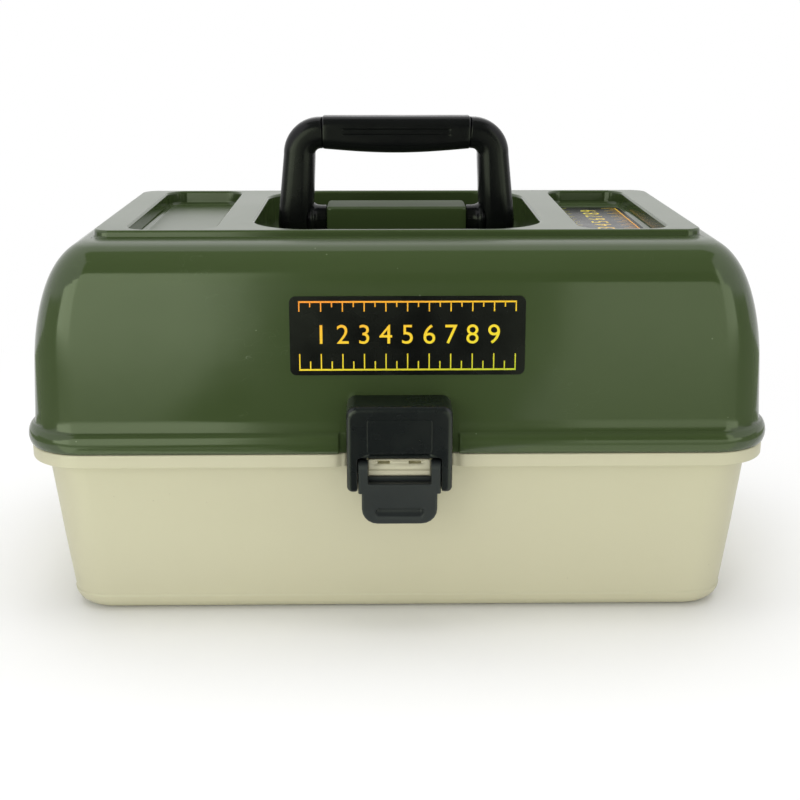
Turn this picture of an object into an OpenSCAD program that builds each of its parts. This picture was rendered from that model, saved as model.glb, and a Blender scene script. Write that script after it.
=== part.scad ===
// Two-tray cantilever tackle box: a drafted tub, a hinged lid with a folding carry handle,
// a front latch, and two trays that rise and step back as the lid opens.
// Millimetres, +Z up, the front faces -Y, the origin is the middle of the underside.

/* [Case] */
// Width over the lid rim
case_w = 360; // [340:1:400]
// Depth over the lid rim, front to back
case_d = 210; // [200:1:230]
// Height of the tub, up to the parting line
base_h = 87.4; // [84:0.2:92]
// Height of the lid, from its rim to the top panel
lid_h = 100.9; // [96:0.1:120]
// Wall of the tub and of the lid
wall = 2.5; // [2:0.1:3]
// Plan radius of the rim's corners
corner_r = 30; // [24:1:36]
// Slope of the tub's walls, in degrees
base_draft = 5.5; // [2:0.5:7]
// Slope of the lid's walls, in degrees
lid_draft = 3.5; // [1:0.5:5]
// Radius of the lid's top edge, at the front and the back
lid_round = 18; // [14:1:20]
// Width of the curve over each end of the lid
end_round = 26; // [22:1:28]
// Height of the curve over each end of the lid
end_rise = 58; // [40:1:60]
// Radius of the tub's bottom edge
base_round = 8; // [4:1:12]

/* [Rim] */
// Height of the tub's flange
flange_h = 6.6; // [5:0.2:9]
// How far the tub's flange stands out from its wall
flange_out = 7; // [5:0.5:8]
// How far the lid's rim stands out past the tub's flange
rim_over = 1.5; // [0.5:0.1:2.5]
// Height of the lid's rim bead
bead_h = 10.3; // [8:0.1:13]
// How far the rim bead stands out from the lid's wall
bead_out = 3.5; // [2:0.1:4]
// Height of the tongue that the tub sends up inside the lid
tongue_h = 4; // [2:0.5:5]
// Half width of the shallow notch in the rims, around the latch
notch_half = 29; // [27:0.5:32]
// How far the rims are set back in the notch
notch_in = 1.8; // [1:0.1:2.4]

/* [Top] */
// Distance from the lid's rim to the end of the raised top panel
panel_side = 35; // [33:0.5:40]
// Distance from the lid's rim to the front of the raised top panel
panel_front = 32.5; // [31:0.5:35]
// Height of the raised panel's step
panel_step = 3.7; // [2:0.1:5]
// Room beside each leg of the handle in its recess
recess_side = 10.1; // [7:0.1:13]
// Border of the panel in front of and behind its recess and pockets
panel_border = 4; // [3.5:0.5:6]
// Depth of the handle's recess
recess_depth = 20; // [19:0.5:24]
// Width of each side pocket
pocket_w = 42; // [38:1:44]
// Depth of each side pocket
pocket_depth = 8; // [4:0.5:10]
// Distance from a side pocket to the end of the panel
pocket_border = 15.5; // [12:0.5:17]

/* [Handle] */
// Gap between the handle's legs, at the grip
handle_gap = 84; // [76:1:92]
// Height of the handle's top above its pivot
handle_rise = 53.2; // [46:0.1:58]
// Width of a leg at its foot
leg_foot = 18.4; // [14:0.1:20]
// Width of a leg below the bend
leg_top = 16.2; // [12:0.1:18]
// Thickness of the handle, front to back
handle_t = 18; // [14:0.5:18]
// Outer radius of the bends at the grip's ends
handle_bend = 18.5; // [15:0.5:22]
// Length of the grip sleeve
grip_len = 76; // [60:1:80]
// Thickness of the grip sleeve, top to bottom, at its ends
grip_h = 16.4; // [14:0.2:20]
// How much deeper the grip is at its middle
grip_belly = 2.1; // [0:0.1:4]
// Gap between each leg and the block that carries the handle's pivots
neck_l = 7.3; // [4:0.1:10]
// Thickness of that block
pedestal_t = 26; // [22:0.5:30]
// Radius of the handle's pivot stubs
trunnion_r = 5; // [3.5:0.1:6]
// Radius of the necks between the legs and the block
neck_r = 7.2; // [6:0.1:8]

/* [Latch] */
// Width of the latch's hood
hood_w = 48.8; // [44:0.2:52]
// Height of the hood above the parting line
hood_rise = 28.2; // [26:0.2:34]
// Length of the hood's cheeks below the parting line
hood_drop = 13.5; // [12:0.5:20]
// How far the hood stands out from the lid rim
hood_out = 14; // [13.5:0.5:17]
// Width of the lever between the cheeks
lever_w = 38.4; // [32:0.2:40]
// Thickness of the lever
lever_t = 7; // [5:0.2:8]
// Length of the lever below its pivot
lever_drop = 27.1; // [24:0.1:32]
// Width of the keeper on the tub
keeper_w = 29; // [22:0.5:30]
// Height of the keeper
keeper_h = 8; // [7:0.1:8.5]
// Radius of the lever's pivot stubs
lever_pin_r = 2; // [1.5:0.1:2.4]

/* [Hinge] */
// Radius of a hinge knuckle
knuckle_r = 4.8; // [4:0.1:5.2]
// Radius of the hinge pins
hinge_pin_r = 1.6; // [1.2:0.1:2]
// Distance from the end of the lid's rim to the middle of a hinge
hinge_side = 68; // [55:1:80]
// Length of the lid's knuckle
knuckle_l = 28; // [16:1:36]

/* [Trays] */
// Room beside each tray, out to the edge of the lid's rim
tray_side = 20; // [20:0.5:26]
// Room in front of the trays, out to the edge of the lid's rim
tray_fore = 17; // [16:0.5:22]
// Height of the lower tray
lower_h = 37; // [30:0.5:38]
// Height of the upper tray
upper_h = 34; // [26:0.5:35]
// Room behind the lower tray, out to the edge of the lid's rim
lower_back = 25; // [25:0.5:36]
// Room behind the upper tray, out to the edge of the lid's rim
upper_back = 43; // [42:0.5:56]
// Wall of the trays
tray_wall = 2; // [1.6:0.1:2.4]
// Thickness of the loose dividers
divider_t = 1.4; // [1:0.1:2]
// Dividers in the lower tray's front row
lower_front_n = 2; // [1:1:4]
// Dividers in the lower tray's rear row
lower_rear_n = 2; // [1:1:4]
// Dividers in the upper tray's front row
upper_front_n = 4; // [1:1:6]
// Dividers in the upper tray's rear row
upper_rear_n = 2; // [1:1:6]

/* [Linkage] */
// Distance from the front of the lid's rim to the upper tray's front pivots
pivot_front = 35; // [32:1:38]
// Depth of the front arms' pivots below the parting line
arm_drop = 5.4; // [5:0.1:8]
// Reach of the arms to the lower tray, forwards
lower_reach = 48; // [44:1:50]
// Rise of the arms to the lower tray
lower_rise = 6; // [4:0.5:8]
// Reach of the arms to the upper tray, forwards
upper_reach = 90; // [86:1:92]
// Rise of the arms to the upper tray
upper_rise = 30; // [28:0.5:32]
// Thickness of the steel arms
arm_t = 1.6; // [1.2:0.1:2]
// Width of the steel arms
arm_w = 12; // [9:0.5:13]
// Radius of the pivot rivets
rivet_r = 2; // [1.5:0.1:2.5]
// Radius of the rivets' heads
rivet_head_r = 4; // [3:0.1:4.4]

/* [Labels] */
// Width of the front label
label_w = 109; // [80:1:130]
// Height of the front label
label_h = 37; // [24:1:44]
// Height of the front label's middle above the lid's rim
label_up = 56; // [48:0.5:58]

/* [Hidden] */

part_gap = 0.3;          // between two parts that close on each other
run_gap = 0.1;           // round a pin that turns
seat_gap = 0.05;         // round a pin or screw that is driven in, and under its head
knuckle_gap = 0.4;       // between two knuckles of a hinge
corner_n = 8;            // facets of a plan corner
curve_n = 10;            // rings up the curve of the lid
green = [0.27, 0.33, 0.19];
beige = [0.80, 0.78, 0.68];
black = [0.12, 0.13, 0.13];
steel = [0.72, 0.73, 0.74];

// Levels
flange_z = base_h - flange_h;
lid_z = base_h + part_gap;               // underside of the lid's rim
bead_top = lid_z + bead_h;
lid_top = lid_z + lid_h;
shoulder_z = lid_top - panel_step;
recess_z = lid_top - recess_depth;       // floor of the handle's recess
pocket_z = lid_top - pocket_depth;

// Half sizes in plan, as [x, y]
rim_half = [case_w, case_d] / 2;
flange_half = rim_half - [rim_over, rim_over];
tub_half = flange_half - [flange_out, flange_out];
lid_half = rim_half - [bead_out, bead_out];
tongue_half = lid_half - [wall + 0.5, wall + 0.5];
panel_half = rim_half - [panel_side, panel_front];
leg_in = handle_gap / 2 + 1.5;           // inner face of a leg of the handle, at its foot
leg_out = leg_in + leg_foot;             // outer face
recess_half = [leg_out + recess_side, panel_half.y - panel_border];
pocket_half = [pocket_w / 2, panel_half.y - panel_border];
pocket_x = panel_half.x - pocket_border - pocket_half.x;
panel_r = 9;                             // plan radii of the panel, its recess and its pockets
recess_r = 25;
pocket_r = 10;
latch_bay = hood_w / 2 + 0.5;            // half width of the deep cut behind the hood

function tub_inset(z) = (flange_z - min(z, flange_z)) * tan(base_draft);
function lid_inset(z) = max(0, z - bead_top) * tan(lid_draft);
function tub_front_y(z) = -tub_half.y + tub_inset(z);
function lid_front_y(z) = -lid_half.y + lid_inset(z);

// How far a quarter ellipse that ends at the height top has drawn in at the height z
function curve_in(z, top, across, up) =
    z <= top - up ? 0 : across * (1 - sqrt(max(0, 1 - pow((z - top + up) / up, 2))));

// Rounded rectangle as a list of points, anticlockwise
function plan(half, r) = [
    for (q = [0 : 3], i = [0 : corner_n])
        let (a = 90 * q + 90 * i / corner_n,
             side = (q == 0 || q == 3) ? 1 : -1,
             end = (q < 2) ? 1 : -1)
        [side * (half.x - r) + r * cos(a), end * (half.y - r) + r * sin(a)]
];
function ring(half, r, z) = [for (p = plan(half, r)) [p.x, p.y, z]];

// Closed solid through rings of the same number of points, from the lowest up
module loft(rings) {
    n = len(rings[0]);
    m = len(rings);
    sides = [for (i = [0 : m - 2], j = [0 : n - 1]) let (k = (j + 1) % n)
        each [[i * n + j, (i + 1) * n + j, (i + 1) * n + k], [i * n + j, (i + 1) * n + k, i * n + k]]];
    bottom = [for (j = [0 : n - 1]) j];
    top = [for (j = [n - 1 : -1 : 0]) (m - 1) * n + j];
    polyhedron([for (one = rings) each one], concat([bottom], sides, [top]));
}

// Upright prism of a rounded rectangle, from z0 to z1
module slab(half, r, z0, z1) {
    translate([0, 0, z0]) linear_extrude(z1 - z0) polygon(plan(half, r));
}

module box(low, high) {
    translate(low) cube(high - low);
}

// Rod along X between two x values
module rod_x(r, x0, x1, at) {
    translate([min(x0, x1), at.x, at.y]) rotate([0, 90, 0]) cylinder(h = abs(x1 - x0), r = r, $fn = 48);
}

// Plate in the YZ plane, between two x values, from a flat shape drawn as [y, z]
module plate_x(x0, x1) {
    translate([min(x0, x1), 0, 0]) rotate([90, 0, 90]) linear_extrude(abs(x1 - x0)) children();
}

// Plate in the XZ plane, between two y values, from a flat shape drawn as [x, z]
module plate_y(y0, y1) {
    translate([0, max(y0, y1), 0]) rotate([90, 0, 0]) linear_extrude(abs(y1 - y0)) children();
}

// Flat strip through a list of points, with a round eye at each that may be wider than the strip
module strip(points, width, eye_over = 0) {
    for (p = points) translate(p) circle(d = width + eye_over, $fn = 48);
    for (i = [1 : len(points) - 1]) {
        step = points[i] - points[i - 1];
        translate(points[i - 1]) rotate(atan2(step.y, step.x))
            translate([0, -width / 2]) square([norm(step), width]);
    }
}

// The linkage: the lid is the rear arm, and the front arms run parallel to it
hinge_x = rim_half.x - hinge_side;
hinge = [rim_half.y + knuckle_r + 0.5, base_h + part_gap / 2];        // [y, z]
arm_root = [pivot_front + upper_reach - rim_half.y, base_h - arm_drop];
lower_pivots = [for (at = [hinge, arm_root]) at + [-lower_reach, lower_rise]];
upper_pivots = [for (at = [hinge, arm_root]) at + [-upper_reach, upper_rise]];
tray_gap = 2;                            // between the trays
pivot_up = 7;                            // height of the front pivots in the upper tray
upper_z = upper_pivots[1].y - pivot_up;  // underside of the upper tray
lower_z = upper_z - tray_gap - lower_h;  // underside of the lower tray
tray_end = rim_half.x - tray_side;       // end face of both trays
tray_front = -rim_half.y + tray_fore;    // front face of both trays
lower_d = case_d - tray_fore - lower_back;
upper_d = case_d - tray_fore - upper_back;
arm_gap = 2.4;                           // between a tray and the arms
arm_x = tray_end + arm_gap;              // inner face of an arm
arm_out = arm_x + arm_t;                 // outer face of an arm
head_t = 1.2;                            // thickness of a rivet's head
collar = 1.2;                            // how much thicker a rivet is beside the tray
eye_over = 1.2;                          // how much wider an arm is round its holes

// Base
module tub_solid(grow) {
    steps = 5;
    floor_z = grow;
    r = base_round - grow / 2;
    low = [for (i = [0 : steps])
        let (a = 90 * i / steps, z = floor_z + r * (1 - cos(a)),
             cut = tub_inset(z) + grow + r * (1 - sin(a)))
        ring(tub_half - [cut, cut], corner_r - flange_out - cut / 2, z)];
    high = [for (z = [flange_z, base_h + (grow > 0 ? tongue_h + 1 : 0)])
        ring(tub_half - [grow, grow], corner_r - flange_out - grow / 2, z)];
    loft(concat(low, high));
}

module flange() {
    difference() {
        slab(flange_half, corner_r - rim_over, flange_z, base_h);
        difference() {
            slab(flange_half - [wall, wall], corner_r - rim_over - wall, flange_z - 1, base_h - wall);
            box([-notch_half - wall, -rim_half.y, flange_z - 2],
                [notch_half + wall, -flange_half.y + notch_in + wall, base_h]);
        }
        box([-notch_half, -rim_half.y, flange_z - 1], [notch_half, -flange_half.y + notch_in, base_h + 1]);
        box([-latch_bay, -rim_half.y, flange_z - 1], [latch_bay, -tongue_half.y, base_h + 1]);
    }
}

module base_knuckles(x) {
    for (s = [-1, 1]) {
        near = x + s * (knuckle_l / 2 + knuckle_gap);
        far = near + s * knuckle_l / 2;
        difference() {
            union() {
                rod_x(knuckle_r, near, far, hinge);
                box([min(near, far), flange_half.y - 1, flange_z],
                    [max(near, far), hinge.x, base_h - part_gap]);
            }
            rod_x(hinge_pin_r + seat_gap, near - s, far + s, hinge);
        }
    }
}

lever_front = -rim_half.y - hood_out + 0.5;        // front face of the lever
lever_back = lever_front + lever_t;
keeper_front = lever_back + 0.5;
keeper_face = keeper_front + 1.2;        // front above the keeper's lip
keeper_top = base_h - part_gap;
keeper_bottom = keeper_top - keeper_h;
lip_z = [0.8, 2.5, 3.3];                 // where the lip starts, is fullest to, and ends, above the bottom
slot_half = [2.9, 0.6];                  // the two slots in the keeper's front, as [x, z]
slot_drop = 1.4;                         // their middles below the top
slot_depth = 1.6;

module keeper() {
    difference() {
        plate_x(-keeper_w / 2, keeper_w / 2)
            polygon([[tub_front_y(keeper_bottom) + 1, keeper_bottom + 2], [keeper_front + 3, keeper_bottom],
                     [keeper_front + lip_z[0], keeper_bottom], [keeper_front, keeper_bottom + lip_z[0]],
                     [keeper_front, keeper_bottom + lip_z[1]], [keeper_face, keeper_bottom + lip_z[2]],
                     [keeper_face, keeper_top], [tub_front_y(keeper_top) + 1, keeper_top]]);
        for (s = [-1, 1]) translate([s * keeper_w / 4, 0, keeper_top - slot_drop])
            box([-slot_half.x, keeper_face - 1, -slot_half.y], [slot_half.x, keeper_face + slot_depth, slot_half.y]);
    }
}

side_boss_r = 6;                         // bosses for the arms' root screws

module base_tub() {
    boss_out = tub_half.x - wall + 0.5;
    color(beige) {
        difference() {
            union() {
                tub_solid(0);
                flange();
                slab(tongue_half, corner_r - bead_out - wall, base_h - wall, base_h + tongue_h);
                keeper();
            }
            tub_solid(wall);
        }
        for (s = [-1, 1]) base_knuckles(s * hinge_x);
        for (s = [-1, 1]) difference() {
            rod_x(side_boss_r, s * (arm_out + 0.2), s * boss_out, arm_root);
            rod_x(rivet_r + seat_gap, s * arm_out, s * (boss_out - 1), arm_root);
        }
    }
}

// Steel pin through one hinge, held by the tub's knuckles
module hinge_pin(s) {
    half = knuckle_l + knuckle_gap;
    color(steel) rod_x(hinge_pin_r, s * hinge_x - half, s * hinge_x + half, hinge);
}

// Screw with a flat head inside the arm and its shank in a boss further out
module side_screw(s, at, tip_x) {
    head_face = s * (arm_x - seat_gap);
    color(steel) {
        rod_x(rivet_head_r, head_face, head_face - s * head_t, at);
        rod_x(rivet_r, head_face - s * 0.1, s * tip_x, at);
    }
}

module arm_screw(s) {
    side_screw(s, arm_root, tub_half.x - wall - 1);
}

// Lid
module lid_solid(grow) {
    top = shoulder_z - grow;
    curve_z = [for (i = [0 : curve_n]) top - (end_rise - grow) * (1 - sin(90 * i / curve_n))];
    levels = concat([lid_z - (grow > 0 ? 1 : 0), bead_top], curve_z);
    loft([for (z = levels)
        let (side = lid_inset(z) + curve_in(z, top, end_round - grow, end_rise - grow),
             front = lid_inset(z) + curve_in(z, top, lid_round - grow, lid_round - grow))
        ring(lid_half - [grow + side, grow + front],
             corner_r - bead_out - grow / 2 - 0.37 * (side + front), z)]);
}

bead_full = 0.4;                         // share of its height where the bead is fullest
bead_in = notch_in + 0.2;                // how far the bead is cut back in the notch

// Bead round the lid's rim, rounded into the wall
module bead() {
    difference() {
        loft([for (i = [0 : 8])
            let (t = i / 8, low = 1 - 1.9 * pow(bead_full - t, 2),
                 high = sqrt(1 - pow(max(0, t - bead_full) / (1 - bead_full), 2)),
                 out = bead_out * (t < bead_full ? low : high))
            ring(lid_half + [out, out], corner_r - bead_out + out, lid_z + bead_h * t)]);
        box([-notch_half, -rim_half.y - 1, lid_z - 1], [notch_half, -rim_half.y + bead_in, bead_top + 1]);
        box([-latch_bay, -rim_half.y - 1, lid_z - 1], [latch_bay, -lid_half.y, bead_top + 1]);
    }
}

module side_pockets(grow, z0, z1) {
    for (s = [-1, 1]) translate([s * pocket_x, 0, 0])
        slab(pocket_half + [grow, grow], pocket_r + grow, z0, z1);
}

pivot_drop = 5.6;                        // depth of the handle's pivot below the top panel
pedestal_rise = 8;                       // height of the block above the pivot
trunnion_l = 8;                          // length of a trunnion inside the block
handle_pivot = [0, lid_top - pivot_drop];          // [y, z]
pedestal_top = handle_pivot.y + pedestal_rise;
pedestal_half = [leg_in - neck_l, pedestal_t / 2];
trunnion_in = pedestal_half.x - trunnion_l;
fix_shift = [[13.7, 12.4], [25.7, 10.4]];          // from a lid plate's pivots to its screws
plate_fix = [lower_pivots[0] + fix_shift[0], upper_pivots[0] + fix_shift[1]];
plate_boss_r = 5.5;                      // bosses for the lid plates' screws
boss_sink = 2;                           // how far those bosses end inside the lid's outer face

module pedestal_box(z0) {
    box([-pedestal_half.x, -pedestal_half.y, z0], [pedestal_half.x, pedestal_half.y, pedestal_top]);
}

module lid_shell() {
    boss_end = [for (at = plate_fix) lid_half.x - lid_inset(at.y) - boss_sink];
    color(green) difference() {
        union() {
            difference() {
                union() {
                    lid_solid(0);
                    bead();
                    slab(panel_half, panel_r, shoulder_z - 1, lid_top);
                }
                lid_solid(wall);
                slab(panel_half - [wall, wall], panel_r - wall, shoulder_z - wall - 1, lid_top - wall);
            }
            slab(recess_half + [wall, wall], recess_r + wall, recess_z - wall, lid_top - 1);
            side_pockets(wall, pocket_z - wall, lid_top - 1);
            pedestal_box(recess_z - wall);
            for (s = [-1, 1], i = [0, 1])
                rod_x(plate_boss_r, s * (arm_out + seat_gap), s * boss_end[i], plate_fix[i]);
            for (s = [-1, 1]) lid_knuckle(s * hinge_x);
        }
        difference() {
            slab(recess_half, recess_r, recess_z, lid_top + 1);
            pedestal_box(recess_z - 1);
        }
        side_pockets(0, pocket_z, lid_top + 1);
        box([-trunnion_in, -pedestal_half.y + wall, recess_z - wall - 1],
            [trunnion_in, pedestal_half.y - wall, pedestal_top - wall]);
        for (s = [-1, 1]) {
            rod_x(trunnion_r + run_gap, s * (trunnion_in - 1), s * (pedestal_half.x + 1), handle_pivot);
            rod_x(hinge_pin_r + run_gap, s * hinge_x - knuckle_l, s * hinge_x + knuckle_l, hinge);
            for (i = [0, 1]) rod_x(rivet_r + seat_gap, s * arm_out, s * (boss_end[i] - 1), plate_fix[i]);
            hood_screw_axis(s)
                cylinder(h = 3 * wall, r = hood_screw_r + seat_gap, center = true, $fn = 48);
        }
    }
}

module lid_knuckle(x) {
    rod_x(knuckle_r, x - knuckle_l / 2, x + knuckle_l / 2, hinge);
    box([x - knuckle_l / 2, lid_half.y - 1, lid_z + part_gap / 2],
        [x + knuckle_l / 2, hinge.x, hinge.y + knuckle_r]);
}

// Thin plate laid flat on the front of the lid, in [x, distance up the wall]
module on_front_wall(z) {
    translate([0, lid_front_y(z), z]) rotate([90 - lid_draft, 0, 0]) children();
}

label_t = 0.3;
label_r = 3;
label_lift = 0.02;                       // clear of the face below
label_x = 4;                             // the front label sits a little to the right
label_z = lid_z + label_up;
label_half = [label_w, label_h] / 2;

module front_label() {
    color(black) translate([label_x, 0, 0]) on_front_wall(label_z)
        translate([0, 0, label_lift]) linear_extrude(label_t) polygon(plan(label_half, label_r));
}

module top_label() {
    color(black) translate([pocket_x, 0, pocket_z + label_lift])
        linear_extrude(label_t) polygon(plan([label_half.y, label_half.x], label_r));
}

// Latch
hood_front = -rim_half.y - hood_out;
hood_top = base_h + hood_rise;
hood_wall_z = base_h + 3.2;              // lower edge of the hood between its cheeks
cheek_in = lever_w / 2 + 0.2;
cheek_back = -lid_half.y - seat_gap;
cheek_z = base_h - hood_drop;            // lower end of the cheeks
cheek_half = [(cheek_back - hood_front) / 2, (hood_wall_z + 8 - cheek_z) / 2];
cheek_r = 3;
hood_edge = 3.8;                         // radius of the hood's corners, seen from the front
hood_bevel = 1.8;                        // rounding of its top front edge
hood_fall = 0.6;                         // how much lower its top is at the front
hood_wall = 3;
hollow_z = hood_top - 10;                // roof of the hollow inside
pad_half = [keeper_w / 2 + 0.5, 7.85];   // raised pad on its front
pad_z = hood_wall_z + 10.55;             // middle of the pad
pad_out = 0.5;
groove_half = [14, 0.45];                // groove under the pad
groove_up = 1.95;                        // middle of that groove above the hood's lower edge
lever_pivot = [lever_front + lever_t / 2, base_h - 2.3];              // [y, z]
lever_pin_tip = cheek_in + 3;
hood_screw_r = 1.6;
hood_screw_l = 10.5;                     // length of a screw in front of the lid's wall
hood_screw_x = 14;
hood_screw_z = lid_z + 13.5;
hood_boss_r = 4;
screw_head = [3.5, 1.8];                 // radius and height of a hood screw's head

// Places a part along the axis of one of the hood's two screws, with +Z to the front
module hood_screw_axis(s) {
    translate([s * hood_screw_x, lid_front_y(hood_screw_z) + wall, hood_screw_z])
        rotate([90, 0, 0]) children();
}

// The hood as seen from the side
module hood_side() {
    front_z = hood_top - hood_fall;
    polygon([[cheek_back, hood_wall_z], [hood_front, hood_wall_z], [hood_front, front_z - hood_bevel],
             [hood_front + 0.3 * hood_bevel, front_z - 0.3 * hood_bevel], [hood_front + hood_bevel, front_z],
             [lid_front_y(hood_top) - seat_gap, hood_top], [lid_front_y(bead_top) - seat_gap, bead_top]]);
}

module latch_hood() {
    boss_start = wall + lid_front_y(hood_screw_z) - cheek_back;
    color(black) difference() {
        union() {
            intersection() {
                union() {
                    difference() {
                        plate_x(-hood_w / 2, hood_w / 2) hood_side();
                        box([-cheek_in, hood_front + hood_wall, hood_wall_z - 1], [cheek_in, 1, hollow_z]);
                    }
                    for (s = [-1, 1]) plate_x(s * cheek_in, s * hood_w / 2)
                        translate([hood_front + cheek_half.x, cheek_z + cheek_half.y])
                            polygon(plan(cheek_half, cheek_r));
                }
                plate_y(hood_front - 1, 0) translate([0, (hood_top + cheek_z) / 2])
                    polygon(plan([hood_w, hood_top - cheek_z] / 2, hood_edge));
            }
            plate_y(hood_front - pad_out, hood_front + 1) translate([0, pad_z]) polygon(plan(pad_half, 1));
            for (s = [-1, 1]) hood_screw_axis(s) translate([0, 0, boss_start])
                cylinder(h = cheek_back - hood_front - 1, r = hood_boss_r, $fn = 48);
        }
        translate([0, hood_front, hood_wall_z + groove_up])
            box([-groove_half.x, -1, -groove_half.y], [groove_half.x, 0.9, groove_half.y]);
        for (s = [-1, 1]) {
            rod_x(lever_pin_r + run_gap, s * (cheek_in - 1), s * (lever_pin_tip + part_gap), lever_pivot);
            hood_screw_axis(s)
                cylinder(h = wall + hood_screw_l + 0.5, r = hood_screw_r + seat_gap, $fn = 48);
        }
    }
}

// Screws from inside the lid, through its wall and into the hood's bosses
module hood_screws() {
    color(steel) for (s = [-1, 1]) hood_screw_axis(s) {
        translate([0, 0, -seat_gap - screw_head[1] - 0.2]) cylinder(h = screw_head[1], r = screw_head[0], $fn = 48);
        translate([0, 0, -1]) cylinder(h = wall + hood_screw_l, r = hood_screw_r, $fn = 48);
    }
}

window_gap = 1.3;                        // from the keeper's lip down to the lever's cross bar
lever_bar = 4.9;                         // height of that cross bar
hook_h = 1.9;                            // height of the hook along its back edge
hook_t = 1.5;
tab_in = 1.6;                            // how far the tab stands in from the lever's sides
tab_r = 8;
tab_cut = 2.5;                           // how much thinner the tab is than the lever
finger = [9.5, 2];                       // groove for a fingernail: half width between its ends, radius
finger_up = 5.8;                         // its middle above the lever's tip

module latch_lever() {
    arm_in = keeper_w / 2 + run_gap;
    half = lever_w / 2;
    window_z = keeper_bottom - window_gap;
    shoulder = window_z - lever_bar;
    tip_z = lever_pivot.y - lever_drop;
    tab_half = half - tab_in;
    color(black) difference() {
        union() {
            intersection() {
                plate_y(lever_front, lever_back) {
                    translate([-half, shoulder]) square([lever_w, lever_bar]);
                    for (s = [-1, 1]) translate([min(s * half, s * arm_in), shoulder])
                        square([half - arm_in, lever_pivot.y + lever_t / 2 - shoulder]);
                }
                plate_x(-half, half) strip([lever_pivot, [lever_pivot.x, tip_z]], lever_t);
            }
            plate_y(lever_front, lever_back - tab_cut) {
                translate([-tab_half, tip_z + tab_r]) square([2 * tab_half, window_z - tip_z - tab_r]);
                translate([-tab_half + tab_r, tip_z]) square([2 * (tab_half - tab_r), tab_r]);
                for (s = [-1, 1]) translate([s * (tab_half - tab_r), tip_z + tab_r]) circle(tab_r, $fn = 64);
            }
            plate_x(-arm_in - 1, arm_in + 1)
                polygon([[lever_front + 1, window_z - 1], [lever_back, window_z - 1],
                         [lever_back, window_z + hook_h], [lever_back - hook_t, window_z + hook_h]]);
            for (s = [-1, 1]) rod_x(lever_pin_r, s * (arm_in + 1), s * lever_pin_tip, lever_pivot);
        }
        hull() for (s = [-1, 1]) translate([s * finger[0], lever_front, tip_z + finger_up])
            rotate([90, 0, 0]) cylinder(h = 2, r = finger[1], center = true, $fn = 32);
    }
}

// Handle
handle_top = handle_pivot.y + handle_rise;
foot_r = handle_t / 2;
bar_r = 4.5;                             // bar inside the grip
frame_low = 0.7;                         // how much lower the frame's corners are than the grip
groove_drops = [6.5, 9.1];               // grooves along the grip's faces, below its top
groove_size = [27.5, 0.4, 0.225];        // half length, depth and half height of a groove
grip_end = grip_len / 2;
bar_z = handle_top - grip_h / 2;

module handle_frame() {
    low = handle_pivot.y - foot_r;
    under = handle_top - grip_h + 1;
    bend_z = handle_top - frame_low - handle_bend;
    bend_x = handle_gap / 2 + leg_top - handle_bend;
    outline = concat(
        [[leg_in, low], [leg_out, low]],
        [for (a = [0 : 10 : 90]) [bend_x + handle_bend * cos(a), bend_z + handle_bend * sin(a)]],
        [[grip_end + seat_gap, handle_top - frame_low], [grip_end + seat_gap, under],
         [handle_gap / 2, under - 1.5]]);
    color(black) {
        for (s = [-1, 1]) intersection() {
            plate_y(-foot_r, foot_r) scale([s, 1]) polygon(outline);
            plate_x(s * grip_end, s * leg_out) strip([handle_pivot, [0, handle_top]], handle_t);
        }
        rod_x(bar_r, -grip_end - 2, grip_end + 2, [0, bar_z]);
        for (s = [-1, 1]) {
            rod_x(neck_r, s * (leg_in + 1), s * (pedestal_half.x + 0.4), handle_pivot);
            rod_x(trunnion_r, s * (leg_in + 1), s * trunnion_in, handle_pivot);
        }
    }
}

module handle_grip() {
    belly = [for (i = [-8 : 8]) [i / 8 * grip_end, handle_top - grip_h - grip_belly * cos(90 * i / 8)]];
    section_half = [handle_t / 2 + 0.5, (grip_h + grip_belly) / 2];
    color(black) difference() {
        intersection() {
            plate_y(-handle_t, handle_t)
                polygon(concat(belly, [[grip_end, handle_top + 1], [-grip_end, handle_top + 1]]));
            plate_x(-grip_end, grip_end)
                translate([0, handle_top - section_half.y]) polygon(plan(section_half, 6));
        }
        rod_x(bar_r + seat_gap, -grip_end - 1, grip_end + 1, [0, bar_z]);
        for (s = [-1, 1], drop = groove_drops) translate([0, s * section_half.x, handle_top - drop])
            box([-groove_size.x, -groove_size.y, -groove_size.z], groove_size);
    }
}

// Arms, plates and trays
module front_arm(s) {
    joints = [arm_root, lower_pivots[1], upper_pivots[1]];
    color(steel) plate_x(s * arm_x, s * arm_out) difference() {
        strip(joints, arm_w, eye_over);
        for (p = joints) translate(p) circle(rivet_r + run_gap, $fn = 48);
    }
}

module lid_plate(s) {
    corners = [plate_fix[0], lower_pivots[0], upper_pivots[0], plate_fix[1]];
    color(steel) difference() {
        union() {
            plate_x(s * arm_x, s * arm_out) strip(concat(corners, [corners[0]]), arm_w, eye_over);
            plate_x(s * arm_x, s * arm_out) polygon(corners);
        }
        for (at = corners) rod_x(rivet_r + run_gap, s * (arm_x - 1), s * (arm_out + 1), at);
    }
}

module lid_plate_screws(s) {
    for (at = plate_fix) side_screw(s, at, lid_half.x - lid_inset(at.y) - 2 * boss_sink);
}

// Shouldered rivets that a tray turns on, with a head on either side
module tray_rivets(s, pivots) {
    inner = tray_end - tray_wall - seat_gap;
    color(steel) for (at = pivots) {
        rod_x(rivet_head_r, s * (inner - head_t), s * inner, at);
        rod_x(rivet_r + collar, s * (tray_end + seat_gap), s * (arm_x - run_gap), at);
        rod_x(rivet_r, s * (inner - 0.1), s * (arm_out + run_gap + 0.1), at);
        rod_x(rivet_head_r, s * (arm_out + run_gap), s * (arm_out + run_gap + head_t), at);
    }
}

tray_r = 8;
tray_floor = 2;
row_split = 0.5;                         // share of the depth in front of the long wall

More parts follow.
